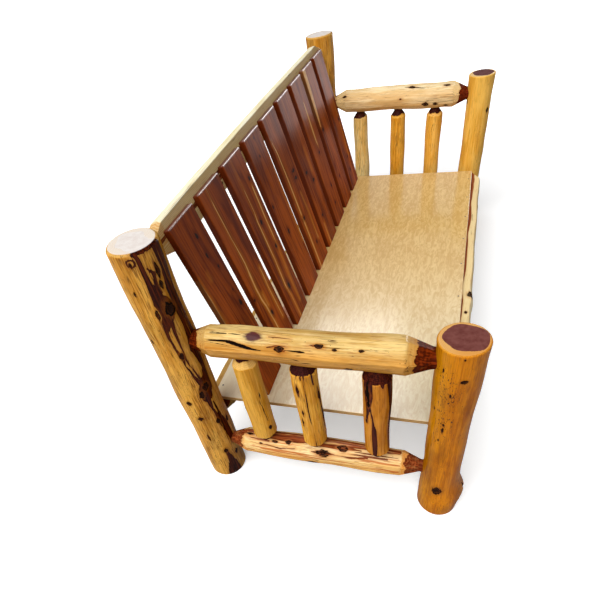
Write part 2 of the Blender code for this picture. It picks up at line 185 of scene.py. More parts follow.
# Skin of a peeled and varnished log. Depth, Heart and Pit are in millimetres: how far the
# surface lies under the natural skin, how far it is inside the heartwood, and inside a crack.
def makeLogGroup():
    inputs = {"Vector": ["Stem"], "Float": surfaceFields + finishValues, "Color": finishColors}
    outputs = {"Color": ["Color"], "Float": ["Roughness", "Gloss", "Height"]}
    tree, given, result = newGroup("log_skin", inputs, outputs)
    stem = given["Stem"]
    wood = placeGroup(fibreGroup, Stem=stem)
    knot = placeGroup(knotGroup, Stem=stem, Knot=given["Knot"], Ragged=1.3)
    branch = placeGroup(knotGroup, Stem=stem, Knot=given["Branch"], Ragged=0.5)
    black = (0.006, 0.003, 0.002)
    brown = (0.022, 0.008, 0.005)
    side = minus(1.0, given["End"])

    # Sapwood, with growth rings where a tool has cut below the skin
    shade = timesAdd(wood["Fibre"], 0.45, times(wood["Tone"], 0.55))
    sap = mixOf(stepOf(shade, 0.2, 0.82), given["Sap Light"], given["Sap Dark"])
    grain = stepOf(noiseOf(stem, (340, 340, 6), 2.0, 0.5), 0.54, 0.72)
    sap = mixOf(times(grain, 0.55), sap, (0.66, 0.5, 0.32), "MULTIPLY")
    patches = stepOf(noiseOf(stem, (17, 17, 8), 4.0, 0.65), 0.46, 0.68)
    sap = mixOf(times(patches, given["Mottle"]), sap, (0.56, 0.55, 0.5), "MULTIPLY")
    veins = stepOf(noiseOf(stem, (120, 120, 3.4), 3.0, 0.6), 0.57, 0.63)
    veins = times(times(veins, given["Streaks"]), 10.0)
    sap = mixOf(veins, sap, given["Stain"])
    turnsOfRing = timesAdd(given["Depth"], 2.1, times(wood["Tone"], 5.0))
    ring = timesAdd(sine(turnsOfRing), 0.5, 0.5)
    cutFace = stepOf(given["Depth"], 0.5, 2.0)
    ringShare = times(times(ring, cutFace), 0.4)
    endPale = mixOf(times(wood["Fine"], 0.1), given["End Sap"], given["Sap Light"])
    sap = mixOf(given["End"], sap, endPale)
    sap = mixOf(times(times(cutFace, side), 0.8), sap, given["Cut"])
    # painted shade: Amber darkens and warms the sapwood on the side of a log that the light leaves in shade, and
    # darkens the hewn cones at the ends towards amber
    sap = mixOf(given["Amber"], sap, (0.95, 0.66, 0.34), "MULTIPLY")
    sap = mixOf(ringShare, sap, given["Sap Dark"])

    # Heartwood, with an edge that frays along the grain and streaks of sapwood left in it
    splinter = noiseOf(stem, (150, 150, 5.5), 4.0, 0.62)
    jag = times(minus(splinter, 0.5), given["Jag"])
    edge = plus(given["Heart"], times(jag, timesAdd(given["End"], -0.7, 1.0)))
    inside = stepOf(edge, -0.3, 0.3)
    nearHeart = times(stepOf(edge, -11.0, 0.0), side)
    sap = mixOf(times(nearHeart, 0.4), sap, given["Stain"])
    darker = stepOf(plus(wood["Fibre"], times(ringShare, 0.8)), 0.1, 0.95)
    heart = mixOf(darker, given["Heart Red"], given["Heart Dark"])
    heart = mixOf(stepOf(edge, 0.6, 3.5, 0.7, 0.0), heart, given["Heart Dark"])
    islands = plus(noiseOf(stem, (125, 125, 4.5), 3.0, 0.6), given["Streaks"])
    islands = times(stepOf(islands, 0.63, 0.72), stepOf(edge, 1.2, 4.0))
    islands = times(times(islands, side), stepOf(given["Depth"], 0.5, 1.5, 0.8, 0.2))
    heart = mixOf(islands, heart, mixOf(wood["Fibre"], given["Sap Dark"], given["Stain"]))
    cloudy = stepOf(noiseOf(stem, (60, 60, 60), 4.0, 0.6), 0.25, 0.8)
    endRed = mixOf(cloudy, given["End Heart"], given["End Dark"])
    heart = mixOf(given["End"], heart, endRed)
    rim = times(stepOf(absolute(edge), 0.0, 1.0, 0.3, 0.0), nearHeart)
    color = mixOf(inside, sap, heart)
    color = mixOf(rim, color, given["Heart Dark"])

    # Knots, cracks, hairline checks, short flecks and small specks
    color = mixOf(times(knot["Halo"], 0.5), color, given["Stain"])
    color = mixOf(knot["Core"], color, brown)
    color = mixOf(knot["Ring"], color, black)
    color = mixOf(times(branch["Ring"], 0.15), color, brown)
    color = mixOf(branch["Core"], color, (0.08, 0.024, 0.024))
    roughEdge = times(minus(wood["Fine"], 0.5), 2.4)
    crack = stepOf(plus(given["Pit"], roughEdge), -0.3, 0.7)
    color = mixOf(crack, color, black)
    check = times(times(wood["Check"], given["Checks"]), side)
    color = mixOf(check, color, brown)
    fleck = times(times(wood["Fleck"], given["Flecks"]), side)
    color = mixOf(fleck, color, given["Heart Red"])
    dots = noiseOf(stem, (300, 300, 130), 3.0, 0.6)
    speck = stepOf(timesAdd(given["Specks"], 0.16, dots), 0.7, 0.74)
    speck = times(speck, side)
    color = mixOf(speck, color, brown)
    feed(result["Color"], color)

    holes = most(crack, most(check, most(knot["Ring"], knot["Core"])))
    gloss = timesAdd(wood["Fibre"], 0.12, 0.3)
    feed(result["Roughness"], timesAdd(holes, 0.45, gloss))
    matt = times(times(cutFace, side), 0.9)  # hewn cones took up less varnish
    matt = most(matt, most(holes, times(inside, 0.5)))
    feed(result["Gloss"], stepOf(matt, 0.0, 1.0, 0.15, 0.02))
    height = timesAdd(wood["Fibre"], 0.25, times(wood["Tone"], 0.5))
    height = timesAdd(holes, -0.8, height)
    height = timesAdd(speck, -0.4, height)
    feed(result["Height"], timesAdd(inside, -0.3, height))
    return tree


logGroup = makeLogGroup()
print("shader groups made")


def attributeOf(tree, name, output="Fac"):
    node = tree.nodes.new("ShaderNodeAttribute")
    node.attribute_name = name
    return node.outputs[output]


def newMaterial(name):
    material = bpy.data.materials.new(name)
    material.use_nodes = True
    return material, material.node_tree, material.node_tree.nodes["Principled BSDF"].inputs


# Colour, roughness and relief of varnished wood; bumps are the relief's strength and distance
def varnish(tree, shader, wood, bumps, coat, coatRoughness):
    bump = tree.nodes.new("ShaderNodeBump")
    for name, value in zip(("Strength", "Distance", "Height"), (*bumps, wood["Height"])):
        feed(bump.inputs[name], value)
    feed(shader["Base Color"], wood["Color"])
    feed(shader["Roughness"], wood["Roughness"])
    feed(shader["Normal"], bump.outputs["Normal"])
    feed(shader["Specular IOR Level"], 0.0)
    feed(shader["Coat Weight"], coat)
    feed(shader["Coat Roughness"], coatRoughness)


def objectPlace(tree):
    return tree.nodes.new("ShaderNodeTexCoord").outputs["Object"]


# Finish of each kind of log, in the order of finishColors and finishValues: the wood under its varnish, save the back
# posts' end faces, which are painted near white as a painted highlight of glare
# painted highlight: end colours painted near white, heart and sapwood alike, for the glare on the back posts' tops
paintedGlareEnd = [(0.83, 0.81, 0.75), (0.8, 0.75, 0.71), (0.7, 0.62, 0.57)]
purpleEnd = [(0.76, 0.43, 0.14), (0.2, 0.066, 0.054), (0.12, 0.03, 0.024)]
plumEnd = [(0.82, 0.58, 0.28), (0.15, 0.058, 0.058), (0.095, 0.028, 0.028)]
railEnd = [(0.78, 0.55, 0.25), (0.12, 0.03, 0.02), (0.06, 0.02, 0.01)]
spindleEnd = [(0.7, 0.45, 0.18), (0.08, 0.02, 0.015), (0.04, 0.01, 0.008)]
logFinishes = {
    # its end colours are the painted glare on the back posts' tops
    "honey_post_wood": (
        [(0.78, 0.4, 0.062), (0.58, 0.24, 0.02), (0.29, 0.08, 0.005), (0.098, 0.014, 0.001),
         (0.018, 0.002, 0.001), (0.7, 0.42, 0.12), *paintedGlareEnd], [0.03, 0.75, 12.0, 0.7, 0.6],
    ),
    "amber_post_wood": (
        [(0.68, 0.262, 0.005), (0.48, 0.155, 0.001), (0.3, 0.08, 0.003), (0.115, 0.022, 0.008),
         (0.028, 0.006, 0.004), (0.74, 0.36, 0.05), *purpleEnd], [0.01, 0.65, 12.0, 0.3, 0.3],
    ),
    "golden_post_wood": (
        [(0.94, 0.55, 0.105), (0.8, 0.4, 0.05), (0.4, 0.13, 0.01), (0.115, 0.022, 0.008),
         (0.028, 0.006, 0.004), (0.8, 0.5, 0.14), *plumEnd], [0.0, 0.15, 12.0, 0.4, 0.2],
    ),
    "pale_rail_wood": (
        [(0.8, 0.565, 0.215), (0.6, 0.345, 0.08), (0.5, 0.16, 0.015), (0.2, 0.026, 0.003),
         (0.055, 0.006, 0.001), (0.5, 0.29, 0.085), *railEnd], [0.015, 0.4, 8.0, 1.0, 0.35],
    ),
    "light_rail_wood": (
        [(0.9, 0.73, 0.43), (0.78, 0.53, 0.23), (0.56, 0.22, 0.05), (0.2, 0.026, 0.005),
         (0.07, 0.009, 0.002), (0.84, 0.62, 0.3), *railEnd], [0.0, 0.1, 14.0, 0.8, 0.3],
    ),
    "cream_rail_wood": (
        [(0.96, 0.9, 0.66), (0.88, 0.77, 0.46), (0.7, 0.42, 0.16), (0.3, 0.08, 0.02),
         (0.12, 0.025, 0.006), (0.62, 0.37, 0.11), *railEnd], [0.0, 0.1, 10.0, 0.4, 0.1],
    ),
    "sawn_rail_wood": (
        [(0.93, 0.78, 0.46), (0.8, 0.56, 0.24), (0.56, 0.24, 0.06), (0.42, 0.125, 0.042),
         (0.24, 0.055, 0.018), (0.9, 0.72, 0.38), *railEnd], [0.0, 0.1, 5.0, 0.7, 0.2],
    ),
    "streaked_rail_wood": (
        [(0.9, 0.72, 0.36), (0.78, 0.48, 0.16), (0.56, 0.2, 0.055), (0.34, 0.08, 0.02),
         (0.11, 0.017, 0.004), (0.74, 0.4, 0.12), *railEnd], [0.11, 0.12, 11.0, 0.9, 0.6],
    ),
    "amber_spindle_wood": (
        [(0.9, 0.47, 0.065), (0.68, 0.28, 0.018), (0.38, 0.105, 0.005), (0.058, 0.012, 0.01),
         (0.03, 0.007, 0.006), (0.76, 0.42, 0.075), *spindleEnd], [0.0, 0.25, 12.0, 0.6, 0.4],
    ),
    "honey_spindle_wood": (
        [(0.8, 0.41, 0.055), (0.6, 0.255, 0.016), (0.42, 0.13, 0.008), (0.065, 0.013, 0.01),
         (0.03, 0.006, 0.005), (0.84, 0.55, 0.18), *spindleEnd], [0.0, 0.3, 8.0, 0.2, 0.15],
    ),
    "russet_spindle_wood": (
        [(0.7, 0.28, 0.028), (0.5, 0.165, 0.008), (0.34, 0.075, 0.004), (0.09, 0.015, 0.006),
         (0.028, 0.005, 0.004), (0.72, 0.36, 0.06), *spindleEnd], [0.0, 0.25, 8.0, 0.4, 0.3],
    ),
    "golden_spindle_wood": (
        [(0.95, 0.54, 0.11), (0.8, 0.38, 0.045), (0.46, 0.16, 0.015), (0.07, 0.016, 0.012),
         (0.03, 0.007, 0.005), (0.82, 0.48, 0.14), *spindleEnd], [0.0, 0.1, 10.0, 0.5, 0.4],
    ),
    "straw_spindle_wood": (
        [(0.96, 0.72, 0.3), (0.86, 0.53, 0.14), (0.4, 0.15, 0.02), (0.085, 0.02, 0.012),
         (0.03, 0.007, 0.004), (0.82, 0.52, 0.18), *spindleEnd], [0.0, 0.1, 12.0, 0.6, 0.5],
    ),
}
logMaterials = {}
for name, (colors, strengths) in logFinishes.items():
    material, tree, shader = newMaterial(name)
    marks = {title: attributeOf(tree, title.lower()) for title in surfaceFields}
    marks.update({title: times(marks[title], 1000.0) for title in ("Depth", "Heart", "Pit")})  # metres to millimetres
    finish = dict(zip(finishColors + finishValues, colors + strengths))
    skin = placeGroup(logGroup, Stem=attributeOf(tree, "stem", "Vector"), **marks, **finish)
    varnish(tree, shader, skin, (0.5, 0.0012), skin["Gloss"], 0.14)
    logMaterials[name] = material
print("log finishes made:", len(logMaterials))


def smoothStep(value):
    value = np.clip(value, 0.0, 1.0)
    return value * value * (3 - 2 * value)


def wrapped(angle):
    return (angle + np.pi) % (2 * np.pi) - np.pi


# A closed skin from a grid of points: columns join round, the first and last rows are one point each
def skinMesh(name, points, fields, sharp):
    rows, columns = points.shape[:2]
    inner = np.arange((rows - 2) * columns).reshape(rows - 2, columns)
    after = np.roll(inner, -1, axis=1)
    quads = np.stack([inner[:-1], after[:-1], after[1:], inner[1:]], axis=-1).reshape(-1, 4)
    low = np.stack([np.full(columns, inner.size), after[0], inner[0]], axis=-1)
    high = np.stack([np.full(columns, inner.size + 1), inner[-1], after[-1]], axis=-1)
    corners = np.concatenate([quads.ravel(), low.ravel(), high.ravel()])
    sizes = np.concatenate([np.full(len(quads), 4), np.full(2 * columns, 3)])
    flat = lambda grid: np.concatenate([grid[1:-1].reshape(inner.size, -1), grid[:1].mean(1), grid[-1:].mean(1)])
    places = flat(points)
    mesh = bpy.data.meshes.new(name)
    mesh.vertices.add(len(places))
    mesh.vertices.foreach_set("co", places.astype(np.float32).ravel())
    mesh.loops.add(len(corners))
    mesh.loops.foreach_set("vertex_index", corners.astype(np.int32))
    mesh.polygons.add(len(sizes))
    mesh.polygons.foreach_set("loop_start", (np.cumsum(sizes) - sizes).astype(np.int32))
    mesh.update(calc_edges=True)
    for field, grid in fields.items():
        kind, key = ("FLOAT_VECTOR", "vector") if grid.ndim == 3 else ("FLOAT", "value")
        attribute = mesh.attributes.new(field, kind, "POINT")
        attribute.data.foreach_set(key, flat(grid.reshape(rows, columns, -1)).astype(np.float32).ravel())
    mesh.shade_smooth()
    mesh.set_sharp_from_angle(angle=math.radians(sharp))
    mesh.validate()
    return mesh


def addPiece(name, mesh, material, node):
    piece = bpy.data.objects.new(name, mesh)
    mesh.materials.append(material)
    scene.collection.objects.link(piece)
    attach(piece, "root")
    if node:
        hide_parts(node)
    return piece


growth = {
    "height": 0.0016, "bendLength": 0.0588, "ovalLength": 0.0345, "lobeLength": 0.25, "phaseStep": 2.399963,
    "oval": 0.6, "lobes": 0.4, "fadeLength": 0.045,
}
knife = {"depth": 0.00045, "cuts": 7, "length": 31}
marksPerMetre = {"knots": 9, "cracks": 6, "hearts": 2.5}
relief = {
    "collar": 0.0011, "collarReach": 1.7, "knotHollow": 0.0022, "hollowEdge": 0.75, "hollowFade": 0.5,
    "crackDepth": 0.0026, "crackLip": 0.0005, "crackFade": 0.0025, "deepest": 0.004, "fade": 0.003,
    "sharpAngle": 16,
}
lensPower = 1.6  # outline of a knot: 1 is a diamond, 2 an ellipse
ringPoints = 15  # of a stroke round a cut branch
flatSearch = {"start": 0.8, "rounds": 8, "least": 0.03}  # half angle of a flat, seen from the axis
shoulderSearch = {"rounds": 12, "leastCone": 0.004, "farthest": 0.4}  # place where a cone ends


# Slow waves of a stem: a bend, an oval and three lobes that turn along the log
def growthWaves(along, angle, seed):
    phase = [seed * growth["phaseStep"] * order for order in range(1, 6)]
    bend = np.sin(along / growth["bendLength"] + phase[0]) * np.cos(angle - phase[1])
    oval = growth["oval"] * np.sin(along / growth["ovalLength"] + phase[2]) * np.cos(2 * angle - phase[3])
    lobes = growth["lobes"] * np.cos(3 * angle - phase[4] - along / growth["lobeLength"])
    return growth["height"] * (bend + oval + lobes)


# Shallow marks of the peeling knife: short waves round the log that drift along it
def knifeMarks(along, angle, seed):
    drift = 2.3 * np.sin(along * 9 + seed) + 1.4 * np.sin(along * 23 + 2 * seed)
    across = np.sin(knife["cuts"] * angle + drift)
    return knife["depth"] * across * np.sin(along * knife["length"] + 3 * angle + seed)


# Radius of the natural skin: taper and waist along the body, waves, hewn flats and swellings over knots
def naturalRadius(log, along, angle):
    start, end = log.body
    share = np.clip((along - start) / (end - start), 0.0, 1.0)
    girth = log.radius * (1 + log.taper * (0.5 - share) - log.waist * (1 - (2 * share - 1) ** 2))
    middle = smoothStep(np.minimum(along - start, end - along) / growth["fadeLength"])
    fade = log.wave * log.fadeFloor + log.wave * (1 - log.fadeFloor) * middle
    radius = girth + fade * (growthWaves(along, angle, log.seed) + knifeMarks(along, angle, log.seed))
    radius = radius * (1 - log.hewn * (1 - facetFactor(log, angle)))
    for place, turn, height, spread in log.swells:
        around = wrapped(angle - math.radians(turn)) * log.radius
        radius = radius + height * np.exp(-((along - place) ** 2 + around**2) / spread**2)
    return radius


# Signed distance inside strokes of changing width; a stroke is points of along (m), turn (degrees), half width (mm)
def strokeField(log, along, angle, strokes):
    field = np.full(along.shape, noPit)
    for stroke in strokes:
        for first, second in zip(stroke[:-1], stroke[1:]):
            run = second[0] - first[0]
            rise = math.radians(second[1] - first[1]) * log.radius
            across = wrapped(angle - math.radians(first[1])) * log.radius
            share = np.clip(((along - first[0]) * run + across * rise) / (run**2 + rise**2), 0.0, 1.0)
            away = np.hypot(along - first[0] - share * run, across - share * rise)
            field = np.maximum(field, (first[2] + (second[2] - first[2]) * share) / 1000 - away)
    return field


# Distance to the nearest knot, 1 at its edge, in lens shapes that point along the grain; a knot is
# along (m), turn (degrees), half length and half width (mm)
def knotField(log, along, angle, knots):
    field = np.full(along.shape, noKnot)
    for place, turn, length, width in knots:
        around = wrapped(angle - math.radians(turn)) * log.radius
        ahead, aside = np.abs(along - place) * 1000 / length, np.abs(around) * 1000 / width
        field = np.minimum(field, (ahead**lensPower + aside**lensPower) ** (1 / lensPower))
    return field


# Sum of soft round clusters; a cluster is along (m), turn (degrees), spread (mm) and strength
def clusterField(log, along, angle, clusters):
    field = np.zeros(along.shape)
    for place, turn, spread, strength in clusters:
        around = wrapped(angle - math.radians(turn)) * log.radius
        field = field + strength * np.exp(-((along - place) ** 2 + around**2) * 1e6 / spread**2)
    return np.minimum(field, 1.0)


# A ring of dark wood round a branch that was cut flush, as a stroke
def ringStroke(log, place, turn, reach, width):
    way = np.linspace(0.0, 2 * np.pi, ringPoints)
    turns = turn + np.degrees(reach / 1000 * np.sin(way) / log.radius)
    return list(zip(place + reach / 1000 * np.cos(way), turns, np.full(ringPoints, width)))


# Columns round the log, as many between each two ridges of the hewn facets
def facetAngles(log):
    ridges = np.append(log.ridges, log.ridges[0] + 2 * np.pi)
    spots = np.arange(log.columns) * log.facets / log.columns
    return np.interp(spots, np.arange(len(ridges)), ridges)


# Columns round a log with a sawn flat, with two of them on the flat's edges in every row
def flatAngles(log, along):
    columns = log.columns
    middle = math.radians(log.flat["turn"])
    offset = flatOffset(log, along)
    edges = []
    for side in (-1, 1):
        half = np.full(len(along), flatSearch["start"])
        for _ in range(flatSearch["rounds"]):
            reach = roundRadius(log, along, middle + side * half)
            half = np.arccos(np.clip(offset / reach, 0.0, math.cos(flatSearch["least"])))
        edges.append(half)
    onFlat = columns // 3
    across = np.linspace(0.0, 1.0, onFlat + 1)[None, :-1]
    beyond = np.linspace(0.0, 1.0, columns - onFlat + 1)[None, :-1]
    first, last = middle - edges[0][:, None], middle + edges[1][:, None]
    return np.concatenate([first + (last - first) * across, last + (first + 2 * np.pi - last) * beyond], axis=1)


# Distance of a sawn flat from the axis, far away beyond the flat's ends
def flatOffset(log, along):
    low, high = log.flat["reach"]
    return np.where((along > low) & (along < high), log.flat["offset"], 1.0)


# Flat facets between ridges: 1 on a ridge, the cosine of half the facet in its middle
def facetFactor(log, angle):
    ridges = np.append(log.ridges, log.ridges[0] + 2 * np.pi)
    turned = (angle - ridges[0]) % (2 * np.pi) + ridges[0]
    facet = np.clip(np.searchsorted(ridges, turned, side="right") - 1, 0, len(ridges) - 2)
    half = (ridges[facet + 1] - ridges[facet]) / 2
    return np.cos(half) / np.cos(turned - ridges[facet] - half)


neckFlare = 1.06  # girth of a cone's thin end against its tenon
chamfer = 0.0015  # of a tenon's end
neckStep = 0.0008  # from the neck to the first row of the cone
neckGap = 0.004  # from the mortise to the cone
tenonRings = 7
footEdge, rimRows = 0.002, 9  # of a post
ridgeJitter = 0.22  # of a facet's width
seedShift = np.array([0.37, 0.61, 1.13])  # gives each log wood of its own
noKnot, noPit = 6.0, -0.05  # far from any knot or crack


# Radius before any flat: the natural skin, the hewn cones with their facets, and the round tenons
def roundRadius(log, along, angle):
    radius = naturalRadius(log, along, angle)
    if not log.tenon:
        return radius
    fromEnd = np.minimum(along, log.length - along)
    slope = (log.radius - neckFlare * log.tenon) / log.cone
    cone = (neckFlare * log.tenon + (fromEnd - log.neck) * slope) * facetFactor(log, angle)
    return np.where(fromEnd < log.neck, log.tenon, np.minimum(radius, cone))


# Place along the log, for each column, where the hewn cone meets the natural skin
def shoulderPlaces(log, angle, atEnd):
    slope = (log.radius - neckFlare * log.tenon) / log.cone
    fromEnd = np.full(angle.shape, log.neck + log.cone)
    for _ in range(shoulderSearch["rounds"]):
        along = log.length - fromEnd if atEnd else fromEnd
        skin = naturalRadius(log, along, angle) / facetFactor(log, angle)
        fromEnd = log.neck + (skin - neckFlare * log.tenon) / slope
        nearest, farthest = log.neck + shoulderSearch["leastCone"], shoulderSearch["farthest"] * log.length
        fromEnd = np.clip(fromEnd, nearest, farthest)
    return log.length - fromEnd if atEnd else fromEnd


# For rows along a tenoned log, the first and last drawn to a point: inset, share of the radius, end face or not
def tenonEnds(count):
    fromEnd = np.minimum(np.arange(count), np.arange(count)[::-1])
    return np.where(fromEnd == 1, chamfer, 0.0), np.where(fromEnd == 0, 0.0, 1.0), fromEnd < 2


# Grid of places along a tenoned log: end face, tenon, cone, body between the shoulders, and back again
def tenonRows(log, angle):
    length, step, neck = log.length, log.step, log.neck + neckStep
    low, high = shoulderPlaces(log, angle, False), shoulderPlaces(log, angle, True)
    tenon = np.linspace(chamfer, log.neck, tenonRings)[:, None] + np.zeros_like(angle)
    cone = np.linspace(0.0, 1.0, int(log.cone / step) + 2)[:-1, None]
    body = np.linspace(0.0, 1.0, int((length - 2 * neck - 2 * log.cone) / step))[:, None]
    face = np.zeros((2, len(angle)))
    along = np.concatenate([
        face, tenon, neck + (low - neck) * cone, low + (high - low) * body,
        length - neck + (high - length + neck) * cone[::-1], length - tenon[::-1], length + face,
    ])
    return along, *tenonEnds(len(along))


# Places along a post as place, inset and share of the radius: foot, body, rounded rim and top face
def postRows(log):
    length, step, rim = log.length, log.step, log.rim
    bow = np.linspace(0.0, np.pi / 2, rimRows)
    body = np.linspace(footEdge, length - rim, int(length / step))[:-1]
    capRows = int(log.radius / step)
    capShare = np.linspace(1.0, 0.0, capRows + 1)[1:]
    place = np.concatenate([[0, 0, 0], body, length - rim + rim * np.sin(bow), np.full(capRows, length)])
    rimInset, capInset = rim * (1 - np.cos(bow)), np.full(capRows, rim)
    inset = np.concatenate([[0, footEdge, footEdge], np.zeros(len(body)), rimInset, capInset])
    share = np.concatenate([[0, 0.5, 1], np.ones(len(body) + rimRows), capShare])
    rows = np.arange(len(place))
    return place, inset, share, (rows < 3) | (rows > len(body) + rimRows)


# Even places along a tenoned rail that also has a sawn flat
def flatRows(log):
    length, neck = log.length, log.neck
    tenon = np.linspace(chamfer, neck, tenonRings)
    count = int((length - 2 * neck) / log.step)
    body = np.linspace(neck + neckStep, length - neck - neckStep, count)
    place = np.concatenate([[0, 0], tenon, body, length - tenon[::-1], [length, length]])
    return place, *tenonEnds(len(place))


# World places of a log's own x, y and along
def fromLog(log, x, y, along):
    startX, startY, startZ = log.place
    if log.axis == "z":
        return np.stack([startX + x, startY + y, startZ + along], axis=-1)
    if log.axis == "y":
        level, climb = math.cos(log.tilt), math.sin(log.tilt)
        ahead, above = along * level + y * climb, along * climb - y * level
        return np.stack([startX + x, startY + ahead, startZ + above], axis=-1)
    return np.stack([startX + along, startY + y, startZ - x], axis=-1)


# Marks are listed with their place along the log in millimetres
def inMetres(marks):
    return [(mark[0] / 1000, *mark[1:]) for mark in marks]


# Knots, cracks and bare heartwood strewn over the turns that a log's own list leaves open
def strewMarks(log):
    rng = np.random.default_rng(100 + log.seed)
    low, high = log.strewTurns
    start, end = log.body
    knots = inMetres(log.knots)
    cracks, hearts = ([inMetres(stroke) for stroke in strokes] for strokes in (log.cracks, log.hearts))
    hearts += [ringStroke(log, *ring) for ring in inMetres(log.rings)]
    count = log.strewn * log.length * (high - low) / 360
    for _ in range(int(round(marksPerMetre["knots"] * count))):
        knots.append((rng.uniform(start, end), rng.uniform(low, high), rng.uniform(4, 10), rng.uniform(3, 7)))
    for marks, share, tip, bends, room, reaches, widths in (
        (cracks, marksPerMetre["cracks"], 0.5, 6, 0.09, (0.03, 0.07), (1.2, 2.6)),
        (hearts, marksPerMetre["hearts"], 0.8, 9, 0.12, (0.06, 0.11), (2.5, 6)),
    ):
        for _ in range(int(round(share * count))):
            place, turn, reach = rng.uniform(start + 0.02, end - room), rng.uniform(low, high), rng.uniform(*reaches)
            width, bend = rng.uniform(*widths), rng.uniform(-bends, bends)
            last = turn + bend if marks is hearts else turn
            marks.append([(place, turn, tip), (place + 0.5 * reach, turn + bend, width), (place + reach, last, tip)])
    return knots, cracks, hearts


# amber is the turn and strength of painted shade on one side of a log; coneAmber darkens the hewn cones at the ends
logDefaults = {
    "taper": 0.0, "waist": 0.0, "swells": [], "flat": None, "tenon": 0.0, "cone": 0.0, "tenonDepth": 0.0,
    "knots": [], "branches": [], "rings": [], "cracks": [], "hearts": [], "clusters": [], "strewn": 1.0,
    "strewTurns": (-180, 180), "sap": (0.012, 0.012), "sapWave": 0.4, "sapLean": (0, 0.0), "step": 0.0035,
    "facets": 10, "fadeFloor": 0.4, "hewn": 0.0, "firstRidge": None, "tilt": 0.0, "wave": 1.0, "amber": (0, 0.0),
    "coneAmber": 0.0,
}


# One log: radius over place and turn, cut by its cones and flats, hollowed by cracks, raised round knots
def makeLog(log):
    log = SimpleNamespace(**{**logDefaults, **log})
    rng = np.random.default_rng(log.seed)
    jitter = rng.uniform(-ridgeJitter, ridgeJitter, log.facets)
    log.ridges = (np.arange(log.facets) + jitter) * 2 * np.pi / log.facets
    if log.firstRidge is not None:
        log.ridges += math.radians(log.firstRidge) - log.ridges[0]
    log.columns = int(2 * np.pi * log.radius / log.step / log.facets) * log.facets
    log.neck = log.tenonDepth + neckGap
    margin = log.neck + log.cone if log.tenon else 0.0
    log.body = (margin, log.length - margin)
    if log.flat:
        place, inset, share, endRow = flatRows(log)
        angle = flatAngles(log, place)
        along = np.broadcast_to(place[:, None], angle.shape)
    elif log.tenon:
        along, inset, share, endRow = tenonRows(log, facetAngles(log))
        angle = np.broadcast_to(facetAngles(log), along.shape)
    else:
        place, inset, share, endRow = postRows(log)
        along, angle = np.meshgrid(place, facetAngles(log), indexing="ij")
    radius = roundRadius(log, along, angle)
    if log.flat:
        facing = np.cos(angle - math.radians(log.flat["turn"]))
        sawn = flatOffset(log, along) / np.maximum(facing, 1e-3)
        radius = np.where(facing > 0.02, np.minimum(radius, sawn), radius)
    skin = naturalRadius(log, along, angle)
    knots, cracks, hearts = strewMarks(log)
    knot = knotField(log, along, angle, knots)
    pit = strokeField(log, along, angle, cracks)
    natural = smoothStep((relief["deepest"] - (skin - radius)) / relief["fade"])
    collar = relief["collar"] * np.exp(-((knot / relief["collarReach"]) ** 2))
    hollow = relief["knotHollow"] * smoothStep((relief["hollowEdge"] - knot) / relief["hollowFade"])
    groove = relief["crackDepth"] * smoothStep((pit + relief["crackLip"]) / relief["crackFade"])
    radius = radius + natural * (collar - hollow - groove)
    radius = (radius - inset[:, None]) * share[:, None]
    depth = np.maximum(skin - radius, 0.0)
    waves = 0.6 * np.sin(2 * angle + log.seed) + 0.4 * np.sin(5 * angle - 2 * log.seed + along * 20)
    leaning = log.sapLean[1] * np.cos(angle - math.radians(log.sapLean[0]))
    sapHere = log.sap[0] + (log.sap[1] - log.sap[0]) * along / log.length
    under = depth - sapHere * (1 + log.sapWave * waves - leaning)
    under = np.where(depth < 0.0006, np.minimum(under, -0.004), under)  # the natural skin shows no heart through it
    heart = np.maximum(np.where(under < 0, 4 * under, under), strokeField(log, along, angle, hearts))
    x, y = radius * np.cos(angle), radius * np.sin(angle)
    fields = {
        "stem": np.stack([x, y, along], axis=-1) + log.seed * seedShift,
        "depth": depth,
        "heart": heart,
        "knot": np.where(endRow[:, None], noKnot, knot),
        "branch": np.where(endRow[:, None], noKnot, knotField(log, along, angle, inMetres(log.branches))),
        "specks": clusterField(log, along, angle, inMetres(log.clusters)),
        # painted shade on the side that log.amber turns to, joined with the darker cones at the ends
        "amber": np.maximum(
            log.amber[1] * smoothStep(0.1 + 1.2 * np.cos(angle - math.radians(log.amber[0]))),
            log.coneAmber * smoothStep((margin - along) / 0.006 + 0.5),
        ),
        "pit": np.where(endRow[:, None], noPit, pit),
        "end": np.where(endRow[:, None], 1.0, 0.0) + np.zeros_like(angle),
    }
    mesh = skinMesh("peeled_" + log.node, fromLog(log, x, y, along), fields, relief["sharpAngle"])
    return addPiece("peeled_" + log.node, mesh, logMaterials[log.finish], log.node)


# Posts
frontPost = dict(
    slot="post_wood", finish="amber_post_wood", axis="z", length=0.676, radius=0.0565, rim=0.005, waist=0.09,
    sap=(0.0105, 0.0105), sapLean=(-45, 0.5),
)
backPost = dict(
    slot="post_wood", finish="honey_post_wood", axis="z", length=0.905, radius=0.064, rim=0.009, sap=(0.022, 0.022),
)
# the front left post's amber is painted shade on its side towards −X and −Y
makeLog(dict(
    frontPost, node="front_post_left", place=(-0.905, -0.37, 0.0), seed=2, step=0.0022,
    swells=[(0.08, -75.6, 0.018, 0.052), (0.025, -165.6, 0.012, 0.07)], strewTurns=(-80, 100), amber=(-130, 0.5),
    cracks=[[(118, -96, 2), (75, -86, 5), (30, -92, 3)]],
    knots=[
        (126, 175, 16, 14), (599, -167, 6, 7), (434, 162.6, 5, 3), (413, 162, 11, 3), (666, -175, 3, 2),
        (620, 143, 6, 2), (548, 168, 7, 2), (479, 130, 6, 2), (365, 154, 5, 2),
    ],
    clusters=[
        (605, 156, 34, 0.5), (560, 166, 36, 0.6), (530, 170, 30, 0.5), (485, 148, 34, 0.55), (430, 158, 34, 0.55),
        (375, 156, 32, 0.6), (460, 190, 40, 0.35), (250, 170, 50, 0.35), (610, 130, 26, 0.4), (180, 140, 24, 0.4),
        (50, -165, 30, 0.5), (300, 60, 60, 0.5),
    ],
))
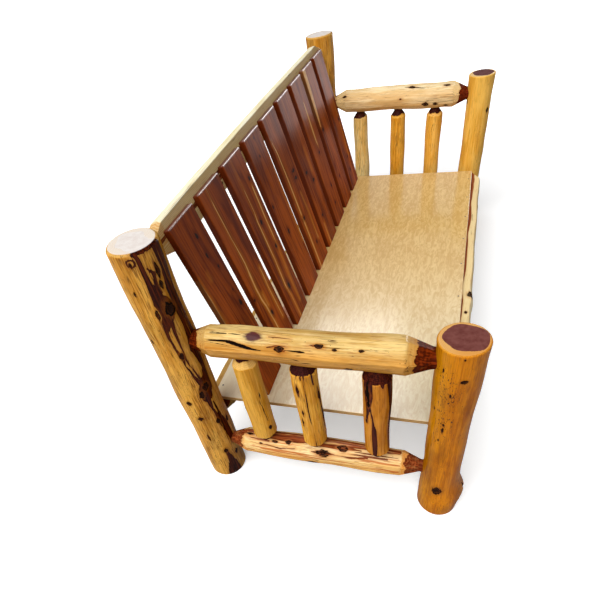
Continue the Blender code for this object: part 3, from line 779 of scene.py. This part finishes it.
makeLog(dict(
    frontPost, node="front_post_right", place=(0.905, -0.37, 0.0), seed=4, finish="golden_post_wood",
    swells=[(0.35, -54.0, 0.006, 0.05)], strewTurns=(-100, 60), strewn=0.8,
    knots=[(572, 111, 8, 5), (535, -130, 10, 6), (350, -54, 14, 9)],
    clusters=[(450, -120, 50, 0.4), (300, 40, 60, 0.6), (150, -30, 50, 0.5)],
))
makeLog(dict(
    backPost, node="back_post_left", place=(-0.905, 0.37, 0.0), seed=3, step=0.0022, strewTurns=(-60, 120),
    rings=[(883, -159, 9, 2.6)],
    clusters=[(520, -172, 50, 0.5), (700, -165, 40, 0.4), (200, -150, 45, 0.5), (350, 175, 45, 0.45)],
    knots=[
        (879, -161, 7, 4), (741, -121, 19, 13), (737, -152, 14, 5), (845, -113, 19, 5), (810, -117, 12, 5),
        (592, -141, 10, 7), (429, -135, 14, 8), (451, -116, 14, 10), (402, -179, 9, 7), (330, -165, 8, 8),
        (230, -167, 13, 4), (296, -122, 11, 6), (268, -89, 12, 5), (142, -136, 10, 8), (101, -103, 12, 6),
        (803, 179, 8, 3), (648, 158, 8, 4),
    ],
    hearts=[
        [(905, -147, 5), (887, -142, 4.5), (857, -142, 5), (819, -142, 5.5), (783, -143, 7), (765, -143, 9)],
        [(860, -132, 2), (844, -124, 5), (818, -126, 5), (790, -124, 4)],
        [(915, -92, 16), (873, -92, 14), (844, -92, 13), (791, -99, 14), (743, -98, 15), (678, -96, 14),
         (600, -92, 12)],
        [(902, -150, 4), (903, -120, 5), (902, -90, 6)],
        [(822, -133, 0.6), (790, -135, 10), (765, -132, 20), (742, -126, 25), (722, -132, 18), (700, -142, 8),
         (676, -143, 0.6)],
        [(715, -146, 6), (660, -150, 3), (617, -148, 3.5), (593, -142, 6), (555, -142, 3), (510, -134, 3),
         (474, -127, 5)],
        [(715, -131, 5), (660, -132, 3), (619, -133, 2), (560, -130, 1.5)],
        [(600, -138, 2), (540, -130, 2), (480, -120, 2.5)],
        [(678, -98, 12), (640, -100, 12), (597, -104, 12), (560, -100, 9), (522, -98, 8), (479, -102, 12)],
        [(490, -104, 10), (475, -109, 19), (440, -117, 25), (412, -121, 19), (395, -122, 8)],
        [(400, -122, 8), (353, -122, 4), (320, -117, 5), (295, -112, 12), (265, -106, 14), (234, -104, 11),
         (160, -100, 8)],
        [(380, -112, 2), (330, -108, 3), (300, -108, 6)],
        [(150, -137, 3), (98, -132, 9), (60, -130, 17), (20, -132, 25), (-10, -133, 27)],
    ],
))
makeLog(dict(
    backPost, node="back_post_right", place=(0.905, 0.37, 0.0), seed=5, strewn=1.2,
    clusters=[(600, 100, 60, 0.5), (300, 150, 60, 0.5)],
    hearts=[
        [(915, -60, 24), (800, -66, 17), (640, -58, 11), (500, -64, 6), (360, -62, 9), (240, -68, 4)],
        [(200, 40, 4), (120, 44, 10), (-10, 40, 18)],
    ],
))
print("posts made")

# Rails of the two ends; the right arm falls towards the front
armFall = 0.0244 / 0.74
armRail = dict(
    slot="rail_wood", finish="pale_rail_wood", axis="y", length=0.7075, radius=0.046, facets=9, tenon=0.0254,
    tenonDepth=0.044, cone=0.052, taper=0.06, sap=(0.0078, 0.0112), sapWave=0.12, hewn=0.5, firstRidge=-172,
)
lowerRail = dict(
    slot="rail_wood", finish="streaked_rail_wood", axis="y", length=0.7075, radius=0.041, facets=9, tenon=0.019,
    tenonDepth=0.044, cone=0.052, taper=-0.02, waist=-0.09, sap=(0.009, 0.009), hewn=0.35,
)
# amber on the arm rails is painted shade on their lower sides
makeLog(dict(
    armRail, node="arm_rail_left", place=(-0.905, -0.3575, 0.613), seed=5, step=0.0018, strewTurns=(-60, 120),
    branches=[(476, -114, 33, 18)], amber=(140, 1.0), coneAmber=0.55,
    knots=[(402, -148, 12, 7), (304, -129, 10, 6), (264.5, -137, 6, 3), (202.5, -134, 7, 3), (235, 150, 9, 5)],
    hearts=[
        [(435, -145, 0.6), (411, -138, 2.2), (379, -138, 0.8)], [(402, -155, 1), (390, -152, 1.5)],
        [(332, -127, 0.6), (312, -128, 3), (290, -131, 1)],
        [(560, -136, 1), (530, -138, 3), (500, -146, 2.5), (480, -152, 1)],
        [(434, -111, 0.4), (405, -111, 1), (378, -112, 0.4)],
    ],
    cracks=[
        [(606, -136, 0.8), (590, -136, 2.4), (565, -135, 2.8), (537.5, -135, 3.2), (520, -138, 2)],
        [(546.5, -138.7, 2), (525, -141.4, 4.8), (507, -147, 5.2), (489, -152.8, 4), (468.5, -157, 2.6),
         (452, -158, 0.8)],
        [(592, -143.7, 0.6), (565, -147, 1.1), (544, -151, 0.6)],
        [(600, -110, 1), (574, -109, 2.2), (550, -109, 1.4)],
        [(545, -109, 0.8), (525, -109.3, 1.6), (510, -110, 0.8)],
        [(390, -150, 1), (365, -151, 1.8), (350, -151.5, 3), (338, -152, 1.2)],
        [(292, -132, 0.5), (260, -132, 1), (229, -131, 0.5)],
        [(221, -134.4, 0.5), (170, -130, 0.8), (128, -125.8, 0.4)],
        [(250, 149, 0.8), (235, 150, 2), (181, 164, 0.8)], [(239, -153, 0.4), (222, -151, 0.8), (208, -149, 0.4)],
    ],
))
makeLog(dict(
    armRail, node="arm_rail_right", place=(0.905, -0.3575, 0.613 - 0.3575 * armFall), seed=7, sap=(0.0098, 0.022),
    tilt=math.atan(armFall), length=0.7075 * math.hypot(1.0, armFall), radius=0.0505, sapWave=0.2, amber=(150, 0.3),
    strewTurns=(-90, 120), finish="light_rail_wood", hearts=[[(350, -173, 1), (342, -172, 4), (330, -172, 1)]],
    cracks=[[(330, -111, 1), (300, -114, 4), (216, -127, 1)], [(640, -143, 2), (590, -141, 1)]],
    knots=[
        (292, -115, 15, 8), (136, -121, 13, 6), (615, -142, 11, 5), (223, 155, 14, 9), (178, 154, 10, 6),
        (130, 139, 10, 6),
    ],
))
# amber on this lower rail is painted shade on its underside
makeLog(dict(
    lowerRail, node="lower_end_rail_left", place=(-0.905, -0.3575, 0.1665), seed=9, step=0.0018,
    strewTurns=(-50, 120), amber=(125, 1.0), coneAmber=1.0, sap=(0.0055, 0.0055),
    knots=[
        (591, -98, 14, 4), (499, -118, 10, 4), (454, -113, 10, 6), (337, -136, 20, 10), (277, -106, 15, 9),
        (547, -135, 6, 3), (375, 165, 15, 6),
    ],
    hearts=[
        [(640, -84, 6), (577, -84, 10), (525, -86, 16), (480, -87, 18), (430, -86, 17), (400, -85, 15),
         (300, -80, 12), (200, -80, 10), (110, -80, 8)],
        [(400, -103, 2), (312.5, -104, 6), (278, -104, 9), (255, -103, 4), (220, -104, 1.5)],
        [(375, -137, 1), (337, -136, 7), (300, -136, 1)],
        [(540, -139, 0.8), (525.5, -138.5, 1.8), (479, -144, 2), (430, -138, 0.8)],
        [(309, -138, 1.2), (246, -138, 2.4), (200, -130, 1.6)],
        [(260, -122, 1.2), (200, -122.7, 3.6), (140, -120, 2)],
        [(240, -112, 1.2), (180, -110, 3.6), (110, -110, 2)], [(600, -112, 1), (560, -118, 2), (520, -120, 1)],
    ],
    cracks=[
        [(370, -137, 1), (337, -136, 4), (306, -136, 1)], [(395, 164, 2), (356, 165, 2)],
        [(610, -97, 1), (591, -98, 2.4), (560, -97, 1)], [(512, -118, 0.6), (499, -118, 2), (486, -118, 0.6)],
    ],
))
makeLog(dict(
    lowerRail, node="lower_end_rail_right", place=(0.905, -0.3575, 0.1665), seed=11, strewn=1.3,
    hearts=[
        [(640, -84, 4), (500, -88, 7), (340, -84, 8), (200, -90, 5)], [(500, 20, 1), (360, 24, 4), (200, 20, 1)],
    ],
))

# Spindles, counted from the back of the sofa
spindle = dict(
    slot="spindle_wood", finish="amber_spindle_wood", axis="z", length=0.4275, radius=0.0366, tenon=0.019,
    tenonDepth=0.034, cone=0.022, facets=11, fadeFloor=0.7,
)
makeLog(dict(
    spindle, node="spindle_left_1", place=(-0.905, 0.175, 0.1735), seed=12, taper=0.08, sap=(0.0145, 0.0135),
    sapWave=0.1, step=0.0018, strewTurns=(-90, 100), finish="honey_spindle_wood",
    knots=[(111, -123, 8, 5), (198, 126, 10, 5)],
    cracks=[
        [(268, -124, 1), (252, -125, 2.4), (240, -127, 1)], [(238, -134, 1), (226, -134, 1.8), (215, -133, 1)],
        [(215, -129, 1), (195, -129, 1.7), (140, -124, 1)],
    ],
))
makeLog(dict(
    spindle, node="spindle_left_2", place=(-0.905, 0.007, 0.1735), seed=13, sap=(0.004, 0.0014), sapWave=0.2,
    step=0.0018, strewTurns=(-80, 100),
    knots=[(315, 160, 12, 4), (275, -103, 14, 5), (178, -94, 14, 5), (218, 164, 9, 3), (171, 151, 10, 3)],
    hearts=[
        [(375, -164, 2.4), (358, -165, 1.3), (300, -166, 1.2), (237, -168, 1.4), (150, -163, 1.2), (60, -159, 1.4)],
        [(335, 159, 1), (315, 160, 5), (290, 160, 1)], [(232, 165, 1), (218, 164, 4), (200, 162, 1)],
        [(190, 152, 1), (171, 151, 4), (150, 151, 1)],
        [(310, -104, 1), (275, -103, 6), (230, -99, 2), (178, -94, 6), (130, -94, 1)],
        [(380, 164, 2.6), (366, 163, 1.4), (357, 162, 0.6)], [(380, -178, 2.4), (364, -178, 1.2), (357, -178, 0.5)],
        [(380, -130, 3), (355, -130, 1.8), (330, -128, 0.6)],
    ],
))
makeLog(dict(
    spindle, node="spindle_left_3", place=(-0.905, -0.185, 0.1735), seed=14, taper=-0.08, sap=(0.004, 0.001),
    step=0.0018, strewTurns=(-80, 90), finish="russet_spindle_wood",
    knots=[(328, 149, 15, 7), (211, 138, 8, 4), (285, 150, 10, 5)],
    cracks=[[(375, 149, 1.5), (345, 150, 4), (318, 149, 5), (300, 151, 3), (270, 149, 1)]],
    hearts=[
        [(395, 150, 11), (375, 152, 12), (345, 151, 13), (318, 151, 13), (290, 150, 9), (262, 148, 6),
         (236, 142, 3), (208, 138, 2.5)],
        [(280, 156, 3), (250, 162, 2), (228, 168, 2.5), (208, 172, 3.5), (180, 175, 6), (150, 176, 7),
         (110, 177, 7), (74, 177, 6), (50, 177, 5)],
        [(385, -150, 9), (362, -150, 4), (354, -150, 1)],
        [(385, -125, 10), (371, -117, 9), (330, -114, 8), (275, -111, 6), (200, -108, 5), (80, -104, 3)],
    ],
))
farSap = {1: ((0.006, 0.003), (150, 0.7)), 2: ((0.008, 0.0062), (0, 0.0)), 3: ((0.009, 0.0105), (190, 0.4))}
farFinish = {1: "straw_spindle_wood", 2: "amber_spindle_wood", 3: "golden_spindle_wood"}
for number, place in enumerate((0.186, -0.002, -0.176), start=1):
    makeLog(dict(
        spindle, node=f"spindle_right_{number}", place=(0.905, place, 0.1735), seed=17 + number,
        length=0.423 + place * armFall, taper=0.08 * (2 - number), sap=farSap[number][0], sapLean=farSap[number][1],
        strewn=0.6, strewTurns=(-80, 80), finish=farFinish[number],
    ))
print("end rails and spindles made")

# Long rails; a flat is the turn it faces, its distance from the axis and its reach along the rail
longRail = dict(
    slot="rail_wood", finish="light_rail_wood", axis="x", tenon=0.0254, tenonDepth=0.044, cone=0.052,
)
makeLog(dict(
    longRail, node="top_back_rail", place=(-0.885, 0.37, 0.843), seed=21, length=1.77, radius=0.0435, waist=-0.1,
    sap=(0.03, 0.03), flat=dict(turn=-104.2, offset=0.0185, reach=(0.051, 1.719)), strewn=0.4,
    strewTurns=(-60, 120), wave=0.15, coneAmber=0.75, finish="cream_rail_wood",
))
makeLog(dict(
    longRail, node="lower_back_rail", place=(-0.885, 0.37, 0.237), seed=22, length=1.77, radius=0.047, taper=0.05,
    sap=(0.016, 0.016), flat=dict(turn=180, offset=0.0277, reach=(0.044, 1.726)), step=0.0045,
    finish="pale_rail_wood",
))
makeLog(dict(
    longRail, node="front_seat_rail", place=(-0.8925, -0.37, 0.237), seed=23, length=1.785, radius=0.0518,
    taper=-0.17, sap=(0.0195, 0.0175), sapWave=0.07, step=0.0032, finish="sawn_rail_wood",
    flat=dict(turn=180, offset=0.0277, reach=(0.0515, 1.7335)), swells=[(0.68, -90, 0.006, 0.045)],
    knots=[(708, -118, 18, 11), (600, -132, 8, 4)],
))
for side, sign in (("left", -1), ("right", 1)):
    makeLog(dict(
        slot="rail_wood", finish="pale_rail_wood", axis="y", node=f"seat_bearer_{side}", seed=26 + sign,
        place=(0.28 * sign, -0.3522, 0.237), length=0.7092, radius=0.036, tenon=0.019, tenonDepth=0.034, cone=0.022,
        flat=dict(turn=-90, offset=0.0277, reach=(0.034, 0.6752)), step=0.0045,
    ))
print("long rails and bearers made")


# Grain of the red boards: growth lines that wander along the board, sapwood streaks and small knots
def makeBoardGroup():
    inputs = {
        "Vector": ["Stem"], "Float": ["Sap", "Knot", "Rise", "Edge"],
        "Color": ["Red Light", "Red Dark", "Amber", "Sapwood"],
    }
    tree, given, result = newGroup("board_face", inputs, {"Color": ["Color"], "Float": ["Roughness", "Height"]})
    stem = given["Stem"]
    wood = placeGroup(fibreGroup, Stem=stem)
    knot = placeGroup(knotGroup, Stem=stem, Knot=given["Knot"], Ragged=1.3)
    across = tree.nodes.new("ShaderNodeSeparateXYZ")
    feed(across.inputs[0], stem)
    wander = noiseOf(stem, (15, 15, 2.2), 2.0)
    turns = timesAdd(across.outputs["X"], 310.0, times(wander, 46.0))
    line = timesAdd(sine(turns), 0.5, 0.5)
    line = power(line, 2.2)
    broad = noiseOf(stem, (20, 20, 1.1), 2.0)
    shade = timesAdd(wood["Fibre"], 0.3, times(wood["Tone"], 0.25))
    shade = timesAdd(line, 0.24, shade)
    shade = timesAdd(stepOf(broad, 0.3, 0.7), 0.45, shade)
    red = mixOf(stepOf(shade, 0.1, 1.05), given["Red Light"], given["Red Dark"])
    splinter = noiseOf(stem, (120, 120, 5), 3.0, 0.6)
    edge = timesAdd(minus(splinter, 0.5), 7.0, given["Sap"])
    warm = times(stepOf(edge, -16.0, 1.0), stepOf(given["Rise"], 0.2, 1.0, 0.75, 0.35))
    red = mixOf(warm, red, given["Amber"])
    red = mixOf(stepOf(given["Rise"], 0.3, 1.0, 0.0, 0.4), red, given["Red Dark"])
    streak = times(stepOf(edge, -0.6, 1.2), 0.85)
    streaked = mixOf(times(wood["Fibre"], 0.35), given["Sapwood"], given["Red Light"])
    color = mixOf(streak, red, streaked)
    color = mixOf(times(knot["Halo"], 0.55), color, given["Red Dark"])
    color = mixOf(knot["Core"], color, (0.02, 0.006, 0.004))
    # painted shade: the board's sides are darkened nearly to black where the neighbouring boards shade them; the
    # rounding of the top end is darkened as well
    color = mixOf(times(given["Edge"], 0.9), color, (0.085, 0.012, 0.002))
    feed(result["Color"], color)
    feed(result["Roughness"], timesAdd(wood["Fibre"], 0.12, 0.26))
    feed(result["Height"], timesAdd(line, 0.3, times(wood["Fibre"], 0.4)))
    return tree


boardGroup = makeBoardGroup()


def finishBoard(tree, shader, coat, **inputs):
    varnish(tree, shader, placeGroup(boardGroup, **inputs), (0.25, 0.0006), coat, 0.29)


boardColors = {
    "Red Light": (0.5, 0.104, 0.011), "Red Dark": (0.128, 0.017, 0.002),
    "Amber": (0.62, 0.195, 0.018), "Sapwood": (0.88, 0.52, 0.18),
}
boardMaterial, tree, shader = newMaterial("red_board_wood")
topCoat = stepOf(attributeOf(tree, "topEdge"), 0.0, 1.0, 0.11, 1.0)  # the varnish gathers on the top edge
sapAndHighlightField = times(attributeOf(tree, "sap"), 1000.0)  # metres to millimetres
fields = {title: attributeOf(tree, title.lower()) for title in ("Knot", "Rise", "Edge")}
finishBoard(tree, shader, topCoat, Stem=attributeOf(tree, "stem", "Vector"), Sap=sapAndHighlightField, **fields, **boardColors)

# Back boards, with marks in millimetres: streaks of sapwood, and one painted highlight on board 1, are points of
# along, across and half width;
# knots are along, across, half length and half width
backBoards = {
    "pitch": 0.18171, "width": 0.1416, "thickness": 0.019, "edge": 0.0038, "backEdge": 0.0008, "length": 0.6096,
    "lean": 14.2, "foot": (0.1886, 0.2803), "step": 0.0036, "footEdge": 0.0012, "firstRow": 0.004, "rimRows": 8,
    "cornerPoints": 7, "sharpAngle": 30, "middle": 5, "shift": (0.71, 0.43, 1.37),
    "streaks": {
        1: [
            # painted highlight: this streak runs along board 1's left edge and stands for that edge lit orange
            [(460, -71, 1), (400, -71, 3), (280, -71, 3.5), (160, -71, 3), (0, -71, 3)],
            [(450, -26, 0.5), (430, -26, 0.5)],
        ],
        2: [
            [(610, -22, 1.5), (550, -25, 2.5), (445, -24, 2.5), (390, -20, 3), (360, -19, 3), (320, -24, 4),
             (270, -30, 4), (225, -29, 4), (195, -22, 3), (110, -18, 3), (0, -18, 2)],
            [(235, -9, 2), (185, -9, 2)], [(300, 47, 1.5), (260, 45, 3), (220, 42, 2), (100, 43, 0.5)],
        ],
        3: [
            [(610, -16, 1.5), (530, -18, 1), (500, -15, 2), (430, -16, 1.5), (400, -21, 2.5), (320, -22, 3),
             (250, -22, 3), (155, -30, 3), (110, -22, 2), (0, -18, 1.5)],
            [(500, 45, 1), (485, 44, 3), (435, 41, 4), (380, 38, 3), (320, 38, 2.5), (250, 33, 0.5), (140, 24, 1),
             (50, 24, 0)],
        ],
        4: [[(460, 62, 0), (300, 63, 0.5), (180, 62, 0)]],
        5: [
            [(530, -58, 1.5), (510, -54, 3), (480, -47, 3.5), (370, -45, 4), (250, -47, 4), (235, -48, 1),
             (215, -46, 4), (100, -46, 4), (0, -48, 3)],
            [(300, 24, 0), (220, 30, 0.5), (100, 28, 0)],
        ],
        6: [[(400, 30, 0.5), (360, 30, 1), (310, 30, 0.5)], [(100, -39, 0.5), (0, -37, 3)]],
        7: [[(520, 6, 3), (480, 5, 6), (400, 4, 7), (365, 4, 5), (345, 10, 1)]],
        8: [[(610, -56, 17), (550, -56, 17), (480, -58, 14), (430, -61, 10), (385, -66, 4)]],
        9: [[(450, 30, 0), (300, 34, 0.5), (150, 30, 0)]],
    },
    "knots": {
        1: [(541, 16, 13, 8), (483, 14, 12, 6), (434, 36, 9, 5), (349, 41, 6, 4), (300, 44, 16, 9)],
        2: [(252, -66, 10, 7), (156, -7, 14, 8)],
        3: [(388, 0, 13, 9), (283, 26, 13, 9), (137, -7, 18, 12), (518, 47, 10, 8)],
        4: [(378, -61, 11, 8), (262, -21, 16, 10), (589, 7, 8, 6), (533, -4, 6, 5)],
        5: [(387, 30, 9, 16), (360, 30, 9, 18), (222, -34, 8, 14), (97, 1, 10, 8)],
        6: [(275, 12, 10, 14), (326, -34, 10, 12), (133, -24, 10, 10)],
        7: [(320, -2, 8, 9), (166, 12, 12, 8), (90, -6, 9, 7)],
        8: [(366, -48, 9, 14), (140, -22, 10, 6)],
        9: [(320, 33, 10, 10), (150, 2, 11, 8), (90, -14, 11, 9)],
    },
}


# Outline of a board across its grain as direction and corner: round front corners, nearly square back ones
def boardOutline(spec):
    quarter = np.linspace(0.0, np.pi / 2, spec.cornerPoints)
    points = []
    for index, (cornerX, cornerY) in enumerate(((1, 1), (-1, 1), (-1, -1), (1, -1))):
        turn = quarter + index * np.pi / 2
        edge = spec.backEdge if cornerY > 0 else spec.edge
        corner = [np.full(spec.cornerPoints, value) for value in (cornerX, cornerY, edge)]
        points.append(np.stack([np.cos(turn), np.sin(turn), *corner], axis=-1))
    loop = []
    for index, arc in enumerate(points):
        last, first = arc[-1], points[(index + 1) % 4][0]
        run = spec.width if index in (0, 2) else spec.thickness
        share = np.linspace(0.0, 1.0, max(3, int(run / spec.step)))[1:-1, None]
        loop += [arc, last * (1 - share) + first * share]
    return np.concatenate(loop)


# A board: the outline carried up the lean, drawn in round its top end, its foot cut level
def makeBoard(number):
    spec = SimpleNamespace(**backBoards)
    width, thickness, edge = spec.width, spec.thickness, spec.edge
    outline = boardOutline(spec)
    bow = np.linspace(0.0, np.pi / 2, spec.rimRows)
    body = np.linspace(spec.firstRow, spec.length - edge, int(spec.length / spec.step))[:-1]
    rise = np.concatenate([[0, 0, spec.footEdge], body, spec.length - edge + edge * np.sin(bow), [spec.length]])
    inset = np.concatenate([[edge, spec.footEdge, 0], np.zeros(len(body)), edge * (1 - np.cos(bow)), [edge]])
    share = np.ones(len(rise))
    share[0] = share[-1] = 0.0
    corner = outline[None, :, 4]
    across = outline[None, :, 0] * corner + outline[None, :, 2] * (width / 2 - corner)
    through = outline[None, :, 1] * corner + outline[None, :, 3] * (thickness / 2 - corner)
    across = share[:, None] * across * (1 - 2 * inset[:, None] / width)
    through = thickness / 2 + share[:, None] * through * (1 - 2 * inset[:, None] / thickness)
    lean = math.radians(spec.lean)
    footRise = through * math.tan(lean)
    along = footRise + rise[:, None] * (spec.length - footRise) / spec.length
    middle = spec.pitch * (number - spec.middle)
    footY, footZ = spec.foot
    points = np.stack([
        middle + across,
        footY + along * math.sin(lean) + through * math.cos(lean),
        footZ + along * math.cos(lean) - through * math.sin(lean),
    ], axis=-1)
    flatLog = SimpleNamespace(radius=1.0)
    asTurn = lambda marks: [(mark[0], math.degrees(mark[1] / 1000), *mark[2:]) for mark in inMetres(marks)]
    fields = {
        "stem": np.stack([across, through, along], axis=-1) + number * np.array(spec.shift),
        "sap": strokeField(flatLog, along, across, [asTurn(streak) for streak in spec.streaks[number]]),
        "knot": knotField(flatLog, along, across, asTurn(spec.knots[number])),
        "rise": along / spec.length,
        # edge marks the board's sides, painted shade, and the rounding of its top end
        "edge": np.maximum(outline[None, :, 0] ** 2, smoothStep((rise[:, None] - spec.length) / edge + 1.5)),
        "topEdge": smoothStep((rise[:, None] - spec.length) / edge + 1.5) * np.ones_like(across),
    }
    mesh = skinMesh(f"red_board_{number}", points, fields, spec.sharpAngle)
    return addPiece(f"red_board_{number}", mesh, boardMaterial, f"back_slat_{number}")


for number in range(1, 10):
    makeBoard(number)
print("back boards made")


def dressNode(name, material):
    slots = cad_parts[name].data.materials
    slots.clear()
    slots.append(material)


# The cleat keeps its solid and takes the boards' grain along X, with no streak and no knot
cleatColors = {"Red Light": (0.72, 0.42, 0.29), "Red Dark": (0.5, 0.24, 0.15)}
material, tree, shader = newMaterial("cleat_wood_finish")
turned = tree.nodes.new("ShaderNodeMapping")
feed(turned.inputs["Rotation"], (0.0, math.pi / 2, 0.0))
feed(turned.inputs["Vector"], objectPlace(tree))
finishBoard(tree, shader, 0.02, Stem=turned.outputs[0], Sap=-20.0, Knot=noKnot, **cleatColors)
dressNode("slat_cleat", material)

# Plywood seat: rippled figure along X, veneers on the edges
seatPanel = {"halfLength": 0.8255, "halfDepth": 0.383, "bottom": 0.265, "veneers": 5, "thickness": 0.015}
material, tree, shader = newMaterial("plywood_finish")
plyPlace = objectPlace(tree)
streak = noiseOf(plyPlace, (5, 46, 1), 4.0, 0.6, 0.6)
ripple = noiseOf(plyPlace, (17, 54, 1), 4.0, 0.6, 1.9)
cloud = noiseOf(plyPlace, (3, 5, 1), 2.0)
pore = noiseOf(plyPlace, (60, 420, 1), 2.0)
axes = tree.nodes.new("ShaderNodeSeparateXYZ")
feed(axes.inputs[0], plyPlace)
axis = axes.outputs
figure = timesAdd(stepOf(ripple, 0.35, 0.65), 0.46, times(cloud, 0.36))
figure = timesAdd(stepOf(streak, 0.3, 0.72), 0.24, figure)
# painted sheen and painted light: the seat is painted paler towards its near end, for the varnish's sheen there and
# against the arm's shadow, and deeper gold towards the far end
paintedSheenFade = stepOf(axis["X"], -0.85, 0.15)
plyPale = mixOf(paintedSheenFade, (0.95, 0.84, 0.59), (0.81, 0.565, 0.228))
plyDeep = mixOf(paintedSheenFade, (0.82, 0.66, 0.4), (0.64, 0.39, 0.122))
plyColor = mixOf(stepOf(figure, 0.1, 0.85), plyPale, plyDeep)
poreShare = times(stepOf(pore, 0.6, 0.7), 0.22)
plyColor = mixOf(poreShare, plyColor, (0.52, 0.28, 0.09))
paintedLightStrip = stepOf(axis["Y"], 0.205, 0.25)  # the strip behind the boards is painted pale as painted light, and has little varnish
plyColor = mixOf(times(paintedLightStrip, 0.6), plyColor, (0.93, 0.83, 0.62))
nearEdge = lambda place, half: stepOf(absolute(place), half - 0.0011, half - 0.0002)
onEdge = most(nearEdge(axis["X"], seatPanel["halfLength"]), nearEdge(axis["Y"], seatPanel["halfDepth"]))
layer = minus(axis["Z"], seatPanel["bottom"])
layer = times(layer, math.pi * seatPanel["veneers"] / seatPanel["thickness"])
layer = stepOf(sine(layer), -0.25, 0.25)
edgeColor = mixOf(layer, (0.42, 0.22, 0.07), (0.72, 0.49, 0.21))
plywood = {"Color": mixOf(onEdge, plyColor, edgeColor), "Roughness": timesAdd(figure, 0.12, 0.34), "Height": figure}
varnish(tree, shader, plywood, (0.15, 0.0004), stepOf(paintedLightStrip, 0.0, 1.0, 0.75, 0.1), 0.16)
dressNode("seat_panel", material)

# Nails along the two long edges of the seat: a low dome turned about its axis, repeated over the places
seatNails = {
    "radius": 0.0031, "dome": 0.0007, "rows": (-0.371, 0.368), "height": 0.28, "columns": 12, "sharpAngle": 60,
    "profile": [(0.0, -0.8), (1.0, -0.8), (1.0, 0.1), (0.8, 0.5), (0.45, 0.85), (0.0, 1.0)],
    "places": (-0.775, -0.6, -0.41, -0.2185, -0.0055, 0.18, 0.365, 0.5468, 0.735),
}
material, tree, shader = newMaterial("dark_nail")
speckled = noiseOf(objectPlace(tree), (900, 900, 900), 2.0)
feed(shader["Base Color"], mixOf(speckled, (0.018, 0.014, 0.012), (0.06, 0.05, 0.045)))
feed(shader["Metallic"], 0.6)
feed(shader["Roughness"], 0.5)
turn = np.linspace(0.0, 2 * np.pi, seatNails["columns"] + 1)[:-1]
profile = np.array(seatNails["profile"])[:, :, None]
ring, lift = profile[:, 0] * seatNails["radius"], profile[:, 1] * seatNails["dome"]
shape = np.stack([ring * np.cos(turn), ring * np.sin(turn), lift + np.zeros_like(turn)], axis=-1)
for row, nailY in zip(("front", "back"), seatNails["rows"]):
    for number, nailX in enumerate(seatNails["places"], start=1):
        place = np.array([nailX, nailY, seatNails["height"]])
        name = f"seat_nail_{row}_{number}"
        addPiece(name, skinMesh(name, shape + place, {}, seatNails["sharpAngle"]), material, None)
print("seat finished")


# 1 for rays from the camera, a mirror or glass
def seenBy(tree):
    path = tree.nodes.new("ShaderNodeLightPath").outputs
    return most(path["Is Camera Ray"], most(path["Is Glossy Ray"], path["Is Transmission Ray"]))


# Pale floor that keeps the sofa's shadow near it and runs out to white
floorSpec = {"reach": 40.0, "color": 0.92, "bounce": 0.2, "drop": 0.0006, "glow": (1.3, 3.2), "least": 0.35}
corner, drop = floorSpec["reach"], -floorSpec["drop"]
floorMesh = bpy.data.meshes.new("floor")
outer = [(-corner, -corner, drop), (corner, -corner, drop), (corner, corner, drop), (-corner, corner, drop)]
floorMesh.from_pydata(outer, [], [(0, 1, 2, 3)])
floor = bpy.data.objects.new("floor", floorMesh)
scene.collection.objects.link(floor)
material, tree, shader = newMaterial("floor_paint")
seen = seenBy(tree)
distance = tree.nodes.new("ShaderNodeVectorMath")
distance.operation = "LENGTH"
feed(distance.inputs[0], objectPlace(tree))
glow = stepOf(distance.outputs["Value"], *floorSpec["glow"], floorSpec["least"], 1.0)
paint = [(floorSpec[key],) * 3 for key in ("bounce", "color")]
feed(shader["Base Color"], mixOf(seen, *paint))
feed(shader["Roughness"], 0.95)
feed(shader["Specular IOR Level"], 0.0)
feed(shader["Emission Color"], (1.0, 1.0, 1.0))
feed(shader["Emission Strength"], times(glow, seen))
floorMesh.materials.append(material)

# Soft light from all round, a large lamp high behind the near end, and windows for the gloss
world = bpy.data.worlds.new("studio")
scene.world = world
world.use_nodes = True
tree = world.node_tree
background = tree.nodes["Background"]
seen = seenBy(tree)
feed(background.inputs["Strength"], stepOf(seen, 0.0, 1.0, 0.22, 1.0))
feed(background.inputs["Color"], (1.0, 1.0, 1.0))


def addLamp(name, place, target, size, power):
    data = bpy.data.lights.new(name, "AREA")
    data.shape = "RECTANGLE"
    data.size, data.size_y = size
    data.energy = power
    lamp = bpy.data.objects.new(name, data)
    scene.collection.objects.link(lamp)
    lamp.location = place
    lamp.rotation_euler = (Vector(target) - Vector(place)).to_track_quat("-Z", "Y").to_euler()
    return lamp


addLamp("high_softbox", (-7.0, 2.0, 9.9), (0.0, 0.0, 0.4), (11.0, 11.0), 1780)
addLamp("near_window", (-6.0, 0.4, 2.4), (0.0, 0.0, 0.4), (4.0, 3.0), 40)
glossLamps = [
    addLamp("end_window", (5.4, -1.8, 0.55), (0.4, 0.2, 0.55), (2.4, 1.1), 66),
    addLamp("edge_window", (4.87, -2.17, 2.9), (-0.2, 0.3, 0.85), (2.3, 1.9), 300),
    addLamp("far_window", (4.4, 1.7, 6.4), (-0.6, 0.0, 0.3), (3.2, 3.2), 250),
]
for lamp in glossLamps:  # these only show in the gloss of the varnish
    lamp.visible_diffuse = False
print("lights placed")

scene.view_settings.view_transform = "Standard"
